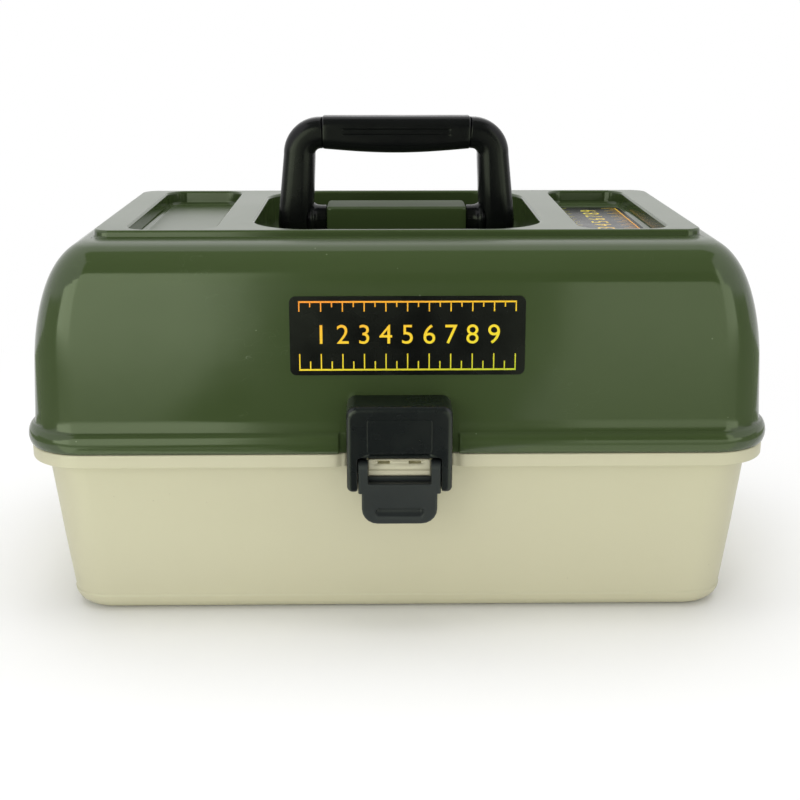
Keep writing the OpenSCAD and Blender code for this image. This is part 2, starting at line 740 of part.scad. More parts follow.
// Ends of one row of a tray along Y
function row_y(depth, row) = row == 0
    ? [tray_front + tray_wall, tray_front + depth * row_split - tray_wall / 2]
    : [tray_front + depth * row_split + tray_wall / 2, tray_front + depth - tray_wall];

// Middles of evenly spaced dividers
function divider_xs(count) = [for (i = [1 : count]) -tray_end + 2 * i * tray_end / (count + 1)];

module tray_row(depth, y, z0, z1) {
    mid = (y[0] + y[1]) / 2;
    translate([0, mid, 0]) slab([tray_end - tray_wall, (y[1] - y[0]) / 2], tray_r - tray_wall, z0, z1);
}

rib_out = 1.4;                           // how far a divider's rib stands in from the wall
rib_t = 1.2;
rib_gap = 0.15;                          // beside a divider

module divider_ribs(depth, row, count, z0, z1) {
    y = row_y(depth, row);
    divider_half = divider_t / 2 + rib_gap;
    rib_half = divider_half + rib_t;
    for (x = divider_xs(count), side = [0, 1]) {
        near = side == 0 ? y[0] - 0.2 : y[1] - rib_out;
        difference() {
            box([x - rib_half, near, z0], [x + rib_half, near + rib_out + 0.2, z1]);
            box([x - divider_half, near - 1, z0 - 1], [x + divider_half, near + rib_out + 2, z1 + 1]);
        }
    }
}

module tray(z, depth, height, pivots, front_n, rear_n) {
    middle = tray_front + depth / 2;
    color(beige) difference() {
        union() {
            difference() {
                translate([0, middle, 0]) slab([tray_end, depth / 2], tray_r, z, z + height);
                for (row = [0, 1]) tray_row(depth, row_y(depth, row), z + tray_floor, z + height + 1);
            }
            divider_ribs(depth, 0, front_n, z + tray_floor - 0.5, z + height - 4);
            divider_ribs(depth, 1, rear_n, z + tray_floor - 0.5, z + height - 4);
        }
        for (s = [-1, 1], at = pivots)
            rod_x(rivet_r + seat_gap, s * (tray_end - tray_wall - 1), s * (tray_end + 1), at);
    }
}

// Loose cross walls of one row, slid down between the ribs
module dividers(z, depth, height, row, count) {
    y = row_y(depth, row);
    color(beige) for (x = divider_xs(count))
        box([x - divider_t / 2, y[0] + seat_gap, z + tray_floor + seat_gap],
            [x + divider_t / 2, y[1] - seat_gap, z + height - 3]);
}

module lower_tray() { tray(lower_z, lower_d, lower_h, lower_pivots, lower_front_n, lower_rear_n); }
module upper_tray() { tray(upper_z, upper_d, upper_h, upper_pivots, upper_front_n, upper_rear_n); }

base_tub();
hinge_pin(-1);  // hinge_pin_left
hinge_pin(1);  // hinge_pin_right
arm_screw(-1);  // arm_screw_left
arm_screw(1);  // arm_screw_right
lid_shell();
front_label();
top_label();
latch_hood();
hood_screws();
lid_plate(-1);  // lid_plate_left
lid_plate(1);  // lid_plate_right
lid_plate_screws(-1);  // lid_plate_screws_left
lid_plate_screws(1);  // lid_plate_screws_right
handle_frame();
handle_grip();
latch_lever();
front_arm(-1);  // front_arm_left
front_arm(1);  // front_arm_right
lower_tray();
dividers(lower_z, lower_d, lower_h, 0, lower_front_n);  // lower_front_dividers
dividers(lower_z, lower_d, lower_h, 1, lower_rear_n);  // lower_rear_dividers
tray_rivets(-1, lower_pivots);  // lower_rivets_left
tray_rivets(1, lower_pivots);  // lower_rivets_right
upper_tray();
dividers(upper_z, upper_d, upper_h, 0, upper_front_n);  // upper_front_dividers
dividers(upper_z, upper_d, upper_h, 1, upper_rear_n);  // upper_rear_dividers
tray_rivets(-1, upper_pivots);  // upper_rivets_left
tray_rivets(1, upper_pivots);  // upper_rivets_right
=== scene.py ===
from math import atan2, cos, pi, radians, sin, sqrt, tan
import bpy
import bmesh
from mathutils import Matrix, Vector


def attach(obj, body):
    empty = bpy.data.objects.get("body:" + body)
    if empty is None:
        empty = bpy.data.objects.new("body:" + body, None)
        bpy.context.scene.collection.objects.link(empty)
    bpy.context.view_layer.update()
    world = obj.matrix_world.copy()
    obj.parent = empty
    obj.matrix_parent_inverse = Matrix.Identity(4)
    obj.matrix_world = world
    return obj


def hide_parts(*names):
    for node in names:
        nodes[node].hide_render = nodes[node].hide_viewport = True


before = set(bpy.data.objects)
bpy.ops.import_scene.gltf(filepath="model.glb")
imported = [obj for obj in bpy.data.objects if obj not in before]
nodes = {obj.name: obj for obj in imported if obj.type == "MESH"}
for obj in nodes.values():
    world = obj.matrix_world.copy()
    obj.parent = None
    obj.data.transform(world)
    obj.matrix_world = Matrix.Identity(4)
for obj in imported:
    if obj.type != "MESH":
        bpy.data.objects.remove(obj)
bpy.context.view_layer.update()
print("frame loaded with", len(nodes), "nodes")

mm = 0.001  # every size below is in millimetres, and the meshes are in metres
up, down = (0, 0, 1), (0, 0, -1)


# outlines: a path holds points as (u, v, radius of that corner)
def cornerArc(before, corner, after, radius, steps):
    here = Vector(corner)
    back, ahead = Vector(before) - here, Vector(after) - here
    sharp = radius <= 0 or back.length < 1e-6 or ahead.length < 1e-6
    half = 0 if sharp else back.angle(ahead) / 2
    if sharp or half > pi / 2 - 0.01:
        return [tuple(here)]
    cut = min(radius / tan(half), 0.49 * back.length, 0.49 * ahead.length)
    centre = here + (back.normalized() + ahead.normalized()).normalized() * (cut / cos(half))
    first = here + back.normalized() * cut - centre
    last = here + ahead.normalized() * cut - centre
    turn = atan2(first.x * last.y - first.y * last.x, first.dot(last))
    points = []
    for i in range(steps + 1):
        a = turn * i / steps
        points.append((centre.x + cos(a) * first.x - sin(a) * first.y,
                       centre.y + sin(a) * first.x + cos(a) * first.y))
    return points


def roundPath(path, steps=5):
    points = [path[0][:2]]
    for before, corner, after in zip(path, path[1:], path[2:]):
        points += cornerArc(before[:2], corner[:2], after[:2], corner[2], steps)
    return points + [path[-1][:2]]


def roundLoop(path, steps=5):
    points = []
    for i, corner in enumerate(path):
        points += cornerArc(path[i - 1][:2], corner[:2], path[(i + 1) % len(path)][:2], corner[2], steps)
    return points


def roundBox(left, right, low, high, lowRound, highRound, steps):
    path = [(left, low, lowRound), (right, low, lowRound), (right, high, highRound), (left, high, highRound)]
    return roundLoop(path, steps)


def planLoop(half, radius, z, middle=(0, 0), steps=12, front=None):
    # rounded rectangle seen from above; front is an extra row of points along its front side
    radius = max(0.3, radius)
    points = []
    for quarter in range(4):
        sideX = 1 if quarter in (0, 3) else -1
        sideY = 1 if quarter < 2 else -1
        for i in range(steps + 1):
            a = (quarter + i / steps) * pi / 2
            points.append((middle[0] + sideX * (half[0] - radius) + radius * cos(a),
                           middle[1] + sideY * (half[1] - radius) + radius * sin(a), z))
        if quarter == 2 and front:
            points += front
    return points


def insetRings(half, radius, path, middle=(0, 0), front=None, steps=12):
    # rings from a path of (inset, z, fillet); front gives each ring's extra points
    rings = []
    for inset, z in roundPath(path, 5):
        size = (half[0] - inset, half[1] - inset)
        row = front(-size[1], z) if front else None
        rings.append(planLoop(size, radius - inset, z, middle, steps, row))
    return rings


def placed(name, data):
    item = bpy.data.objects.new(name, data)
    bpy.context.scene.collection.objects.link(item)
    return item


class Skin:  # gathers rings of points into one mesh
    def __init__(self):
        self.mesh = bmesh.new()

    def ring(self, points):
        return [self.mesh.verts.new((x * mm, y * mm, z * mm)) for x, y, z in points]

    def sweep(self, rings):  # joins each ring to the next one, and gives back the first and the last
        made = [self.ring(points) for points in rings]
        for low, high in zip(made, made[1:]):
            for corners in zip(low, low[1:] + low[:1], high[1:] + high[:1], high):
                self.mesh.faces.new(corners)
        return made[0], made[-1]

    def fill(self, loops, normal):  # flat face between an outline and its holes
        edges = []
        for loop in loops:
            for pair in zip(loop, loop[1:] + loop[:1]):
                edges.append(self.mesh.edges.get(pair) or self.mesh.edges.new(pair))
        made = bmesh.ops.triangle_fill(self.mesh, use_beauty=True, edges=edges, normal=normal)
        for face in made["geom"]:
            if isinstance(face, bmesh.types.BMFace):
                face.normal_update()
                if face.normal.dot(Vector(normal)) < 0:
                    face.normal_flip()

    def prism(self, outline, low, high, axis, bevel=0.5, segments=3, limit=0.5):
        place = {"x": lambda p, d: (d, *p), "y": lambda p, d: (p[0], d, p[1]), "z": lambda p, d: (*p, d)}[axis]
        faces = self.closed([[place(p, d) for p in outline] for d in (low, high)])
        if bevel > 0:
            edges = {e for f in faces for e in f.edges if e.calc_face_angle(0) > limit}
            bmesh.ops.bevel(self.mesh, geom=list(edges), offset=bevel * mm, segments=segments, profile=0.5,
                            affect="EDGES", clamp_overlap=True)

    # profile holds (distance along the axis, radius)
    def turned(self, profile, at, axis="x", steps=40, side=1):
        rings = []
        for along, radius in profile:
            ring = []
            for i in range(steps):
                a = 2 * pi * i / steps
                u, v = at[0] + radius * cos(a), at[1] + radius * sin(a)
                ring.append((side * along, u, v) if axis == "x" else (u, along, v))
            rings.append(ring)
        self.closed(rings)

    def closed(self, rings):  # a sweep with a face at each end, turned to face outwards
        old = set(self.mesh.faces)
        first, last = self.sweep(rings)
        self.mesh.faces.new(first)
        self.mesh.faces.new(last)
        faces = [face for face in self.mesh.faces if face not in old]
        bmesh.ops.recalc_face_normals(self.mesh, faces=faces)
        return faces

    def piece(self, name, body, finish, replaces=(), merge=True):
        if merge:
            bmesh.ops.remove_doubles(self.mesh, verts=self.mesh.verts, dist=2e-6)
            bmesh.ops.dissolve_degenerate(self.mesh, edges=self.mesh.edges, dist=1e-6)
        data = bpy.data.meshes.new(name)
        self.mesh.to_mesh(data)
        self.mesh.free()
        item = placed(name, data)
        evenShading(item)
        data.materials.append(finishes[finish])
        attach(item, body)
        if replaces:
            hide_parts(*replaces)
        return item


def evenShading(item):
    item.data.shade_smooth()
    smooth = item.modifiers.new("evenShading", "WEIGHTED_NORMAL")
    smooth.keep_sharp = True
    smooth.weight = 60


class Wire:  # a node's output, with arithmetic that adds Math nodes
    def __init__(self, nodeSet, socket):
        self.nodeSet, self.socket = nodeSet, socket

    def math(self, operation, *values):
        return self.nodeSet.node("ShaderNodeMath", {"operation": operation}, values)

    def output(self, name):
        return Wire(self.nodeSet, self.socket.node.outputs[name])

    def __add__(self, other):
        return self.math("ADD", self, other)

    __radd__ = __add__

    def __sub__(self, other):
        return self.math("SUBTRACT", self, other)

    def __rsub__(self, other):
        return self.math("SUBTRACT", other, self)

    def __mul__(self, other):
        return self.math("MULTIPLY", self, other)

    __rmul__ = __mul__

    def __gt__(self, other):
        return self.math("GREATER_THAN", self, other)

    def __lt__(self, other):
        return self.math("LESS_THAN", self, other)


def newLook(name):  # a material's nodes, and the place on the surface that its textures follow
    f = NodeSet(bpy.data.materials.new(name))
    return f, f.coordinates("Object")


class NodeSet:  # the nodes of one material or of the world
    def __init__(self, owner):
        owner.use_nodes = True
        self.owner, self.tree = owner, owner.node_tree
        self.tree.nodes.clear()

    def node(self, kind, settings=None, values=()):
        made = self.tree.nodes.new(kind)
        for key, value in (settings or {}).items():
            if key == "stops":
                for i, (at, color) in enumerate(value):
                    stop = made.color_ramp.elements[i] if i < 2 else made.color_ramp.elements.new(at)
                    stop.position, stop.color = at, color
            else:
                setattr(made, key, value)
        for key, value in (values.items() if isinstance(values, dict) else enumerate(values)):
            if isinstance(value, Wire):
                self.tree.links.new(value.socket, made.inputs[key])
            else:
                made.inputs[key].default_value = value
        return Wire(self, made.outputs[0]) if made.outputs else None

    def coordinates(self, kind):
        return self.node("ShaderNodeTexCoord").output(kind)

    def noise(self, place, scale, detail=2, rough=0.5):
        values = {"Vector": place, "Scale": scale, "Detail": detail, "Roughness": rough}
        return self.node("ShaderNodeTexNoise", {}, values)

    def dots(self, place, scale, size):  # small round spots, one or none to a cell
        return self.node("ShaderNodeTexVoronoi", {}, {"Vector": place, "Scale": scale}) < size

    def between(self, value, low, high, start=0, end=1):
        values = {0: value, 1: low, 2: high, 3: start, 4: end}
        return self.node("ShaderNodeMapRange", {"clamp": True}, values)

    def mix(self, share, first, second):
        values = {0: share, 6: first, 7: second}
        return self.node("ShaderNodeMix", {"data_type": "RGBA"}, values).output("Result")

    def bump(self, height, strength, distance):
        values = {"Height": height, "Strength": strength, "Distance": distance * mm}
        return self.node("ShaderNodeBump", {}, values)

    def seen(self):  # more than 0 where the camera looks at it, straight, mirrored or through something
        path = self.node("ShaderNodeLightPath")
        camera, mirror, clear = [path.output(f"Is {ray} Ray") for ray in ("Camera", "Glossy", "Transmission")]
        return camera + mirror + clear

    def axis(self, vector, name):  # one number out of a vector
        return self.node("ShaderNodeSeparateXYZ", {}, {0: vector}).output(name)

    def hairlines(self, place, angle, scale, width):  # fine scratches that run across the front
        turned = self.node("ShaderNodeMapping", {}, {"Vector": place, "Rotation": (0, angle, angle)})
        size = (scale * 0.03, scale, scale)
        stretched = self.node("ShaderNodeVectorMath", {"operation": "MULTIPLY"}, (turned, size))
        ridge = self.noise(stretched, 1, 1)
        line = self.between(ridge, 0.5 - width, 0.5) * self.between(ridge, 0.5 + width, 0.5)
        return line * self.between(self.noise(place, 19, 2), 0.58, 0.66)

    def shader(self, values):
        return self.node("ShaderNodeBsdfPrincipled", {}, values)

    def surface(self, shader, kind="ShaderNodeOutputMaterial"):
        self.node(kind, {}, {"Surface": shader})
        return self.owner


def shade(red, green, blue):  # a colour as an eyedropper reads it, 0 to 255
    parts = [c / 255 for c in (red, green, blue)]
    return tuple(c / 12.92 if c <= 0.04045 else ((c + 0.055) / 1.055) ** 2.4 for c in parts) + (1,)


plastics = {
    "green": (56, 70, 38), "greenPale": (60, 74, 42), "greenScuff": (136, 146, 118),
    "beige": (198, 195, 166), "beigeWarm": (193, 189, 158), "beigeSpeck": (140, 132, 108),
    # keeper and keeperWarm are the tub's beige painted lighter: painted light for the keeper, which sits in
    # the hood's shade
    "keeper": (216, 212, 182), "keeperWarm": (212, 207, 176),
    "hood": (17, 21, 22), "lever": (39, 43, 43), "handle": (12, 13, 14),
    "film": (7, 8, 8), "filmDust": (80, 86, 82),
}
lidGloss = {
    "gloss": (0.1, 0.16), "topRoughness": 0.34, "blockAbove": 0.19, "blockRoughness": 0.5,
    "scratchShow": 0.08, "scratchRoughness": 0.12, "dustShow": 0.45,
}


def glossGreen():
    f, place = newLook("glossGreen")
    lines = f.hairlines(place, 0.35, 160, 0.004) + f.hairlines(place, -0.5, 120, 0.003)
    dust = f.dots(place, 90, 0.03) * (f.noise(place, 12, 1) > 0.56)
    color = f.mix(f.noise(place, 9, 3), shade(*plastics["green"]), shade(*plastics["greenPale"]))
    scuffed = lines * lidGloss["scratchShow"] + dust * lidGloss["dustShow"]
    color = f.mix(scuffed, color, shade(*plastics["greenScuff"]))
    block = f.axis(place, "Z") > lidGloss["blockAbove"]  # the handle's block is dull on top
    flat = f.between(f.axis(f.coordinates("Normal"), "Z"), 0.9, 0.99) * (1 - block)
    gloss = f.between(f.noise(place, 22, 3), 0.3, 0.7, *lidGloss["gloss"])
    gloss = gloss + lines * lidGloss["scratchRoughness"]
    gloss = gloss + flat * lidGloss["topRoughness"] + block * lidGloss["blockRoughness"]
    peel = f.bump(f.noise(place, 60, 1), 0.05, 1)
    return f.surface(f.shader({
        "Base Color": color, "Roughness": gloss, "Normal": peel,
        "Coat Weight": flat, "Coat Roughness": lidGloss["topRoughness"],
    }))


def satinBeige(name, roughness, tone="beige"):
    f, place = newLook(name)
    color = f.mix(f.noise(place, 6, 3), shade(*plastics[tone]), shade(*plastics[tone + "Warm"]))
    specks = f.dots(place, 120, 0.03) * (f.noise(place, 15, 1) > 0.5)
    color = f.mix(specks * 0.45, color, shade(*plastics["beigeSpeck"]))
    gloss = f.between(f.noise(place, 30, 3), 0.3, 0.7, roughness - 0.04, roughness + 0.06)
    grain = f.bump(f.noise(place, 900), 0.06, 0.3)
    return f.surface(f.shader({"Base Color": color, "Roughness": gloss, "Normal": grain}))


def satinBlack(name, key, roughness, grainDepth, specular=0.34):
    f, place = newLook(name)
    tone = shade(*plastics[key])
    worn = tuple(1.4 * c for c in tone[:3]) + (1,)
    color = f.mix(f.noise(place, 40, 3) * 0.5, tone, worn)
    gloss = f.between(f.noise(place, 60, 3), 0.3, 0.7, roughness - 0.05, roughness + 0.06)
    grain = f.bump(f.noise(place, 1400), grainDepth, 0.3)
    return f.surface(f.shader({
        "Base Color": color, "Roughness": gloss, "Normal": grain, "Specular IOR Level": specular,
    }))


def zincSteel():
    f, place = newLook("zincSteel")
    streaks = f.node("ShaderNodeMapping", {}, {"Vector": place, "Scale": (1, 1, 14)})
    brushed = f.noise(streaks, 160, 3, 0.6)
    patches = f.between(f.noise(place, 35, 4), 0.35, 0.7)
    color = f.mix(patches, shade(205, 207, 209), shade(186, 188, 184))
    gloss = f.between(brushed, 0.3, 0.7, 0.24, 0.4)
    grain = f.bump(brushed, 0.05, 0.2)
    return f.surface(f.shader({
        "Base Color": color, "Metallic": 1.0, "Roughness": gloss, "Normal": grain,
    }))


def printedInk(name, along, across):  # orange to yellow along the scale, and greener towards its lower edge
    f, place = newLook(name)
    plate = f.coordinates("Generated")
    warm = 0.62 - f.axis(plate, along) * 0.3 + f.axis(plate, across) * 0.45 - f.noise(place, 60, 2) * 0.15
    stops = [(0.1, shade(150, 190, 22)), (0.95, shade(247, 150, 16)), (0.55, shade(240, 212, 12))]
    color = f.node("ShaderNodeValToRGB", {"stops": stops}, {0: warm})
    return f.surface(f.shader({"Base Color": color, "Roughness": 0.3}))


def filmBlack():
    f, place = newLook("filmBlack")
    color = f.mix(f.dots(place, 260, 0.05) * 0.3, shade(*plastics["film"]), shade(*plastics["filmDust"]))
    gloss = f.between(f.noise(place, 60), 0.3, 0.7, 0.2, 0.3)
    ripple = f.bump(f.noise(place, 120, 1), 0.03, 0.6)
    return f.surface(f.shader({
        "Base Color": color, "Roughness": gloss, "Normal": ripple, "Specular IOR Level": 0.4,
    }))


finishes = {
    "green": glossGreen(), "beige": satinBeige("satinBeige", 0.42), "tray": satinBeige("satinTray", 0.36),
    # the keeper's finish is the tub's beige painted lighter, as painted light, not a different plastic
    "keeper": satinBeige("satinKeeperPaintedLight", 0.36, "keeper"),
    "hood": satinBlack("satinBlack", "hood", 0.28, 0.08, 0.48),
    "lever": satinBlack("satinLever", "lever", 0.45, 0.12),
    "handle": satinBlack("glossBlack", "handle", 0.24, 0.05, 0.26),
    "steel": zincSteel(), "film": filmBlack(),
    "inkFront": printedInk("printedInkFront", "X", "Z"), "inkTop": printedInk("printedInkTop", "Y", "X"),
}
print("materials made:", len(finishes))


# the rims are set back a little on both sides of the latch, and more behind it
def notchRow(y, z, steps, shallowY, deep):
    row = []
    for x, shallow, inner in steps:
        a = y + (shallowY - y) * shallow
        row.append((x, a + (deep[0] - a) * inner, z + (deep[1] - z) * inner))
    return row


def notchSteps(edge):  # edge holds (x, share) up one side of the notch
    left = [(-x, share, 0) for x, share in edge] + [(-24.95, 1, 0), (-24.9, 1, 1)]
    return left + [(-x, shallow, inner) for x, shallow, inner in left[::-1]]


lid = {
    "rimHalf": (180, 105), "rimRadius": 30, "rimInnerRadius": 25.25, "rimZ": 87.7, "wall": 2.5, "draft": 3.5,
    "bead": 3.5, "beadHigh": 10.3, "beadTop": 98, "lowWall": (104, 116),
    "shoulder": 184.9, "top": 188.6, "endRound": 26, "endRise": 58, "frontRound": 18,
    "panelHalf": (145, 72.5), "panelRadius": 9, "stepX": 145.17,
    "underside": 186.1, "undersideHalf": (142.5, 70), "undersideRadius": 6.5,
    "boxTop": 185.9, "boxHalfY": 71, "boxInset": 1.25,
    "recessHalf": (70.4, 68.5), "recessRadius": 28, "recessFloor": 168.6,
    "recessBoxX": 74.5, "recessBoxRadius": 27.5,
    "pocketHalf": (21, 68.5), "pocketRadius": 10, "pocketX": 108.5, "pocketFloor": 180.6,
    "pocketBoxRadius": 12.5,
    "blockHalf": (36.2, 13), "blockRadius": 2.4, "blockTop": 191,
    "hollowHalf": (28.2, 10.5), "hollowRadius": 1.2, "hollowTop": 188.5,
    "notch": notchSteps([(29.2, 0), (28.6, 0.07), (28.12, 0.35), (28, 1)]), "setBack": 1.9,
    "cornerSteps": 16, "curveSteps": 26,
    "hinge": (110.3, 87.55), "hingeX": 112, "knuckle": 4.8, "knuckleHalf": 14,
    "leafY": 100.5, "leafZ": (87.85, 92.35),
    "bosses": (((76, 105.95), 173.2), ((46, 127.95), 172.6)),  # ((y, z), where the boss ends)
    "bossSteps": [(164.2, 4.9), (164.25, 5.2), (164.6, 5.5)], "bossRadius": 5.6,
}
lidHalf = tuple(h - lid["bead"] for h in lid["rimHalf"])


def curveIn(z, top, across, up):
    return 0 if z <= top - up else across * (1 - sqrt(max(0, 1 - ((z - top + up) / up) ** 2)))


def plainRow(y, z):
    return notchRow(y, z, lid["notch"], y, (y, z))


def lidWallRings(grow):
    top, rise, steps = lid["shoulder"] - grow, lid["endRise"] - grow, lid["curveSteps"]
    rings = []
    curve = [top - rise * (1 - sin(pi / 2 * i / steps)) for i in range(steps + 1)]
    for z in [lid["beadTop"], *lid["lowWall"]] + curve:
        inset = max(0, z - lid["beadTop"]) * tan(radians(lid["draft"]))
        side = inset + curveIn(z, top, lid["endRound"] - grow, rise)
        front = inset + curveIn(z, top, lid["frontRound"] - grow, lid["frontRound"] - grow)
        half = (lidHalf[0] - grow - side, lidHalf[1] - grow - front)
        radius = lid["rimRadius"] - lid["bead"] - grow / 2 - 0.37 * (side + front)
        rings.append(planLoop(half, radius, z, steps=lid["cornerSteps"], front=plainRow(-half[1], z)))
    return rings


def beadRings():  # fullest a third of the way up, and rounded into the wall
    path = []
    for i in range(17):
        t = i / 16
        share = 1 - 1.9 * (0.4 - t) ** 2 if t < 0.4 else sqrt(1 - ((t - 0.4) / 0.6) ** 2)
        path.append((lid["bead"] * share, lid["rimZ"] + lid["beadHigh"] * t))
    edge, z = path[0]
    path = [(edge - 0.5, z), (edge - 0.12, z + 0.12), (edge + 0.02, z + 0.5)] + path[1:]
    rings = []
    for out, z in path:
        half = (lidHalf[0] + out, lidHalf[1] + out)
        setBack = min(lid["setBack"] - half[1], -lidHalf[1])
        row = notchRow(-half[1], z, lid["notch"], setBack, (-lidHalf[1], z))
        radius = lid["rimRadius"] - lid["bead"] + out
        rings.append(planLoop(half, radius, z, steps=lid["cornerSteps"], front=row))
    return rings


def undersideBox(skin, half, radius, low, spread, fillet, middle=(0, 0)):  # a hollow, seen from below
    rings = insetRings(half, radius, [(spread, low, 0), (0, low, fillet), (0, lid["boxTop"], 0)], middle)
    inset = lid["boxInset"]
    mouth = (half[0] - inset, half[1] - inset)
    return skin.sweep(rings + [planLoop(mouth, radius - 1.2 * inset, lid["underside"], middle)])


def knuckleCurve(start, end, step):  # (y, z) round the hinge, from below it to the back and up
    (y, z), radius = lid["hinge"], lid["knuckle"]
    return [(y + radius * sin(radians(a)), z - radius * cos(radians(a))) for a in range(start, end, step)]


def makeLid():
    skin = Skin()
    corner, wall, floor = lid["cornerSteps"], lid["wall"], lid["recessFloor"]
    top, shoulder, rimZ = lid["top"], lid["shoulder"], lid["rimZ"]
    half = (lidHalf[0] - wall, lidHalf[1] - wall)
    rim = planLoop(half, lid["rimInnerRadius"], rimZ, steps=corner, front=plainRow(-half[1], rimZ))
    panel = []
    half = lid["undersideHalf"]
    for z in (lid["underside"], shoulder - wall):
        panel.append(planLoop(half, lid["undersideRadius"], z, steps=corner, front=plainRow(-half[1], z)))
    path = [(-2.4, shoulder, 0), (-0.15, shoulder, 1.1), (0.25, top, 1.4), (4.5, top, 0)]
    step = insetRings(lid["panelHalf"], lid["panelRadius"], path, front=plainRow, steps=corner)[:-1]
    step = [[(max(-lid["stepX"], min(lid["stepX"], x)), y, z) for x, y, z in ring] for ring in step]
    inner, outer = lidWallRings(wall)[::-1], lidWallRings(0)[1:]
    first, last = skin.sweep(panel + inner + [rim] + beadRings() + outer + step)

    tops, undersides = [last], [first]
    path = [(-3, top, 0), (0, top, 1.6), (1.2, floor, 4.5), (9, floor, 0)]
    edge, recessFloor = skin.sweep(insetRings(lid["recessHalf"], lid["recessRadius"], path)[1:])
    tops.append(edge)
    for side in (-1, 1):
        middle, pocketFloor = (side * lid["pocketX"], 0), lid["pocketFloor"]
        path = [(-3, top, 0), (0, top, 1.4), (0.7, pocketFloor, 2.6), (6, pocketFloor, 0)]
        edge, bottom = skin.sweep(insetRings(lid["pocketHalf"], lid["pocketRadius"], path, middle)[1:])
        tops.append(edge)
        skin.fill([bottom], up)
        boxHalf = (lid["pocketHalf"][0] + wall, lid["boxHalfY"])
        bottom, edge = undersideBox(skin, boxHalf, lid["pocketBoxRadius"], pocketFloor - wall, 4, 1.2, middle)
        skin.fill([bottom], down)
        undersides.append(edge)
    skin.fill(tops, up)

    path = [(-4, floor, 0), (0, floor, 1.6), (0, lid["blockTop"], 1.7), (3.2, lid["blockTop"], 0)]
    foot, blockTop = skin.sweep(insetRings(lid["blockHalf"], lid["blockRadius"], path, steps=6))
    skin.fill([recessFloor, foot], up)
    skin.fill([blockTop], up)
    under, hollowTop = floor - wall, lid["hollowTop"]
    boxHalf = (lid["recessBoxX"], lid["boxHalfY"])
    below, edge = undersideBox(skin, boxHalf, lid["recessBoxRadius"], under, 5, 1.5)
    path = [(2, hollowTop, 0), (0, hollowTop, 0.6), (0, under, 0.7), (-2, under, 0)]
    roof, mouth = skin.sweep(insetRings(lid["hollowHalf"], lid["hollowRadius"], path, steps=4))
    skin.fill([below, mouth], down)
    skin.fill([roof], down)
    undersides.append(edge)
    skin.fill(undersides, down)

    y, (low, high) = lid["hinge"][0], lid["leafZ"]
    leaf = [(lid["leafY"], low), (y, low)] + knuckleCurve(15, 180, 15) + [(y, high), (lid["leafY"], high)]
    for side in (-1, 1):
        at = side * lid["hingeX"]
        skin.prism(leaf, at - lid["knuckleHalf"], at + lid["knuckleHalf"], "x", 0.4)
        for boss, end in lid["bosses"]:
            skin.turned(lid["bossSteps"] + [(end, lid["bossRadius"])], boss, side=side)
    return skin.piece("lidShell", "lid", "green", ["lid_shell"])


makeLid()
print("lid made")


tub = {
    "half": (171.5, 96.5), "flangeZ": 80.8, "radius": 23, "draft": 5.5, "round": 8, "wall": 2.5,
    "footZ": 8.8, "footCut": 0.35, "setBack": 1.8, "cornerSteps": 16, "rimShallower": 75,
    "notch": notchSteps([
        (31.4, 0), (30.2, 0.05), (29.2, 0.22), (28.4, 0.5), (27.7, 0.78), (27, 0.95), (26.2, 1),
    ]),
    # rings up and round the rim: half the width, corner radius, height, and (y, z) behind the latch
    "flange": [
        (171.5, 23, 84.5), (172, 23.5, 84.9), (176, 26, 84.9, (-97.6, 84.9)), (176, 26, 81, (-98, 84.9)),
        (176.3, 26.3, 80.8, (-98.2, 84.9)), (178, 28, 80.8, (-98.3, 84.95)),
        (178.35, 28.35, 80.95, (-98.45, 85.05)), (178.5, 28.5, 81.3, (-98.5, 85.4)),
        (178.5, 28.5, 86.6, (-98.5, 86.5)), (178.35, 28.35, 87.2, (-98.5, 87)),
        (177.9, 27.9, 87.4, (-98.5, 87.4)), (174, 24.3, 87.4, (-98.5, 87.6)), (173.6, 24.05, 87.6),
    ],
    "tongue": [(173.5, 24, 88), (173.5, 24, 91), (173.1, 23.6, 91.4), (169.4, 22, 91.4), (169, 21.75, 91)],
    "leafY": 102.5, "leafLow": 80.8, "leafHigh": (87.1, 87.5), "hingeGap": 0.4,
    "boss": (20, 82), "bossSteps": [(164.2, 5.5), (164.3, 5.8), (164.7, 6), (169.8, 6.1)],
}


def tubRow(y, z, setBack=0.0, deep=None):
    return notchRow(y, z, tub["notch"], y + setBack, deep or (y, z))


def tubWallRings(grow):  # rounded up from the floor, with a faint step where the foot ends
    fillet = tub["round"] - grow / 2
    levels = []
    for i in range(9):
        a = pi / 2 * i / 8
        levels.append((grow + fillet * (1 - cos(a)), grow + fillet * (1 - sin(a))))
    if grow == 0:
        foot, cut = tub["footZ"], tub["footCut"]
        levels += [(foot - 0.25, 0), (foot, cut), (foot + 0.6, cut)]
    levels += [(20, grow + 0.2 * (grow == 0)), (40, grow), (tub["flangeZ"], grow)]
    rings = []
    for z, cut in levels:
        inset = (tub["flangeZ"] - z) * tan(radians(tub["draft"])) + cut
        half = (tub["half"][0] - inset, tub["half"][1] - inset)
        row = tubRow(-half[1], z)
        rings.append(planLoop(half, tub["radius"] - inset / 2, z, steps=tub["cornerSteps"], front=row))
    return rings


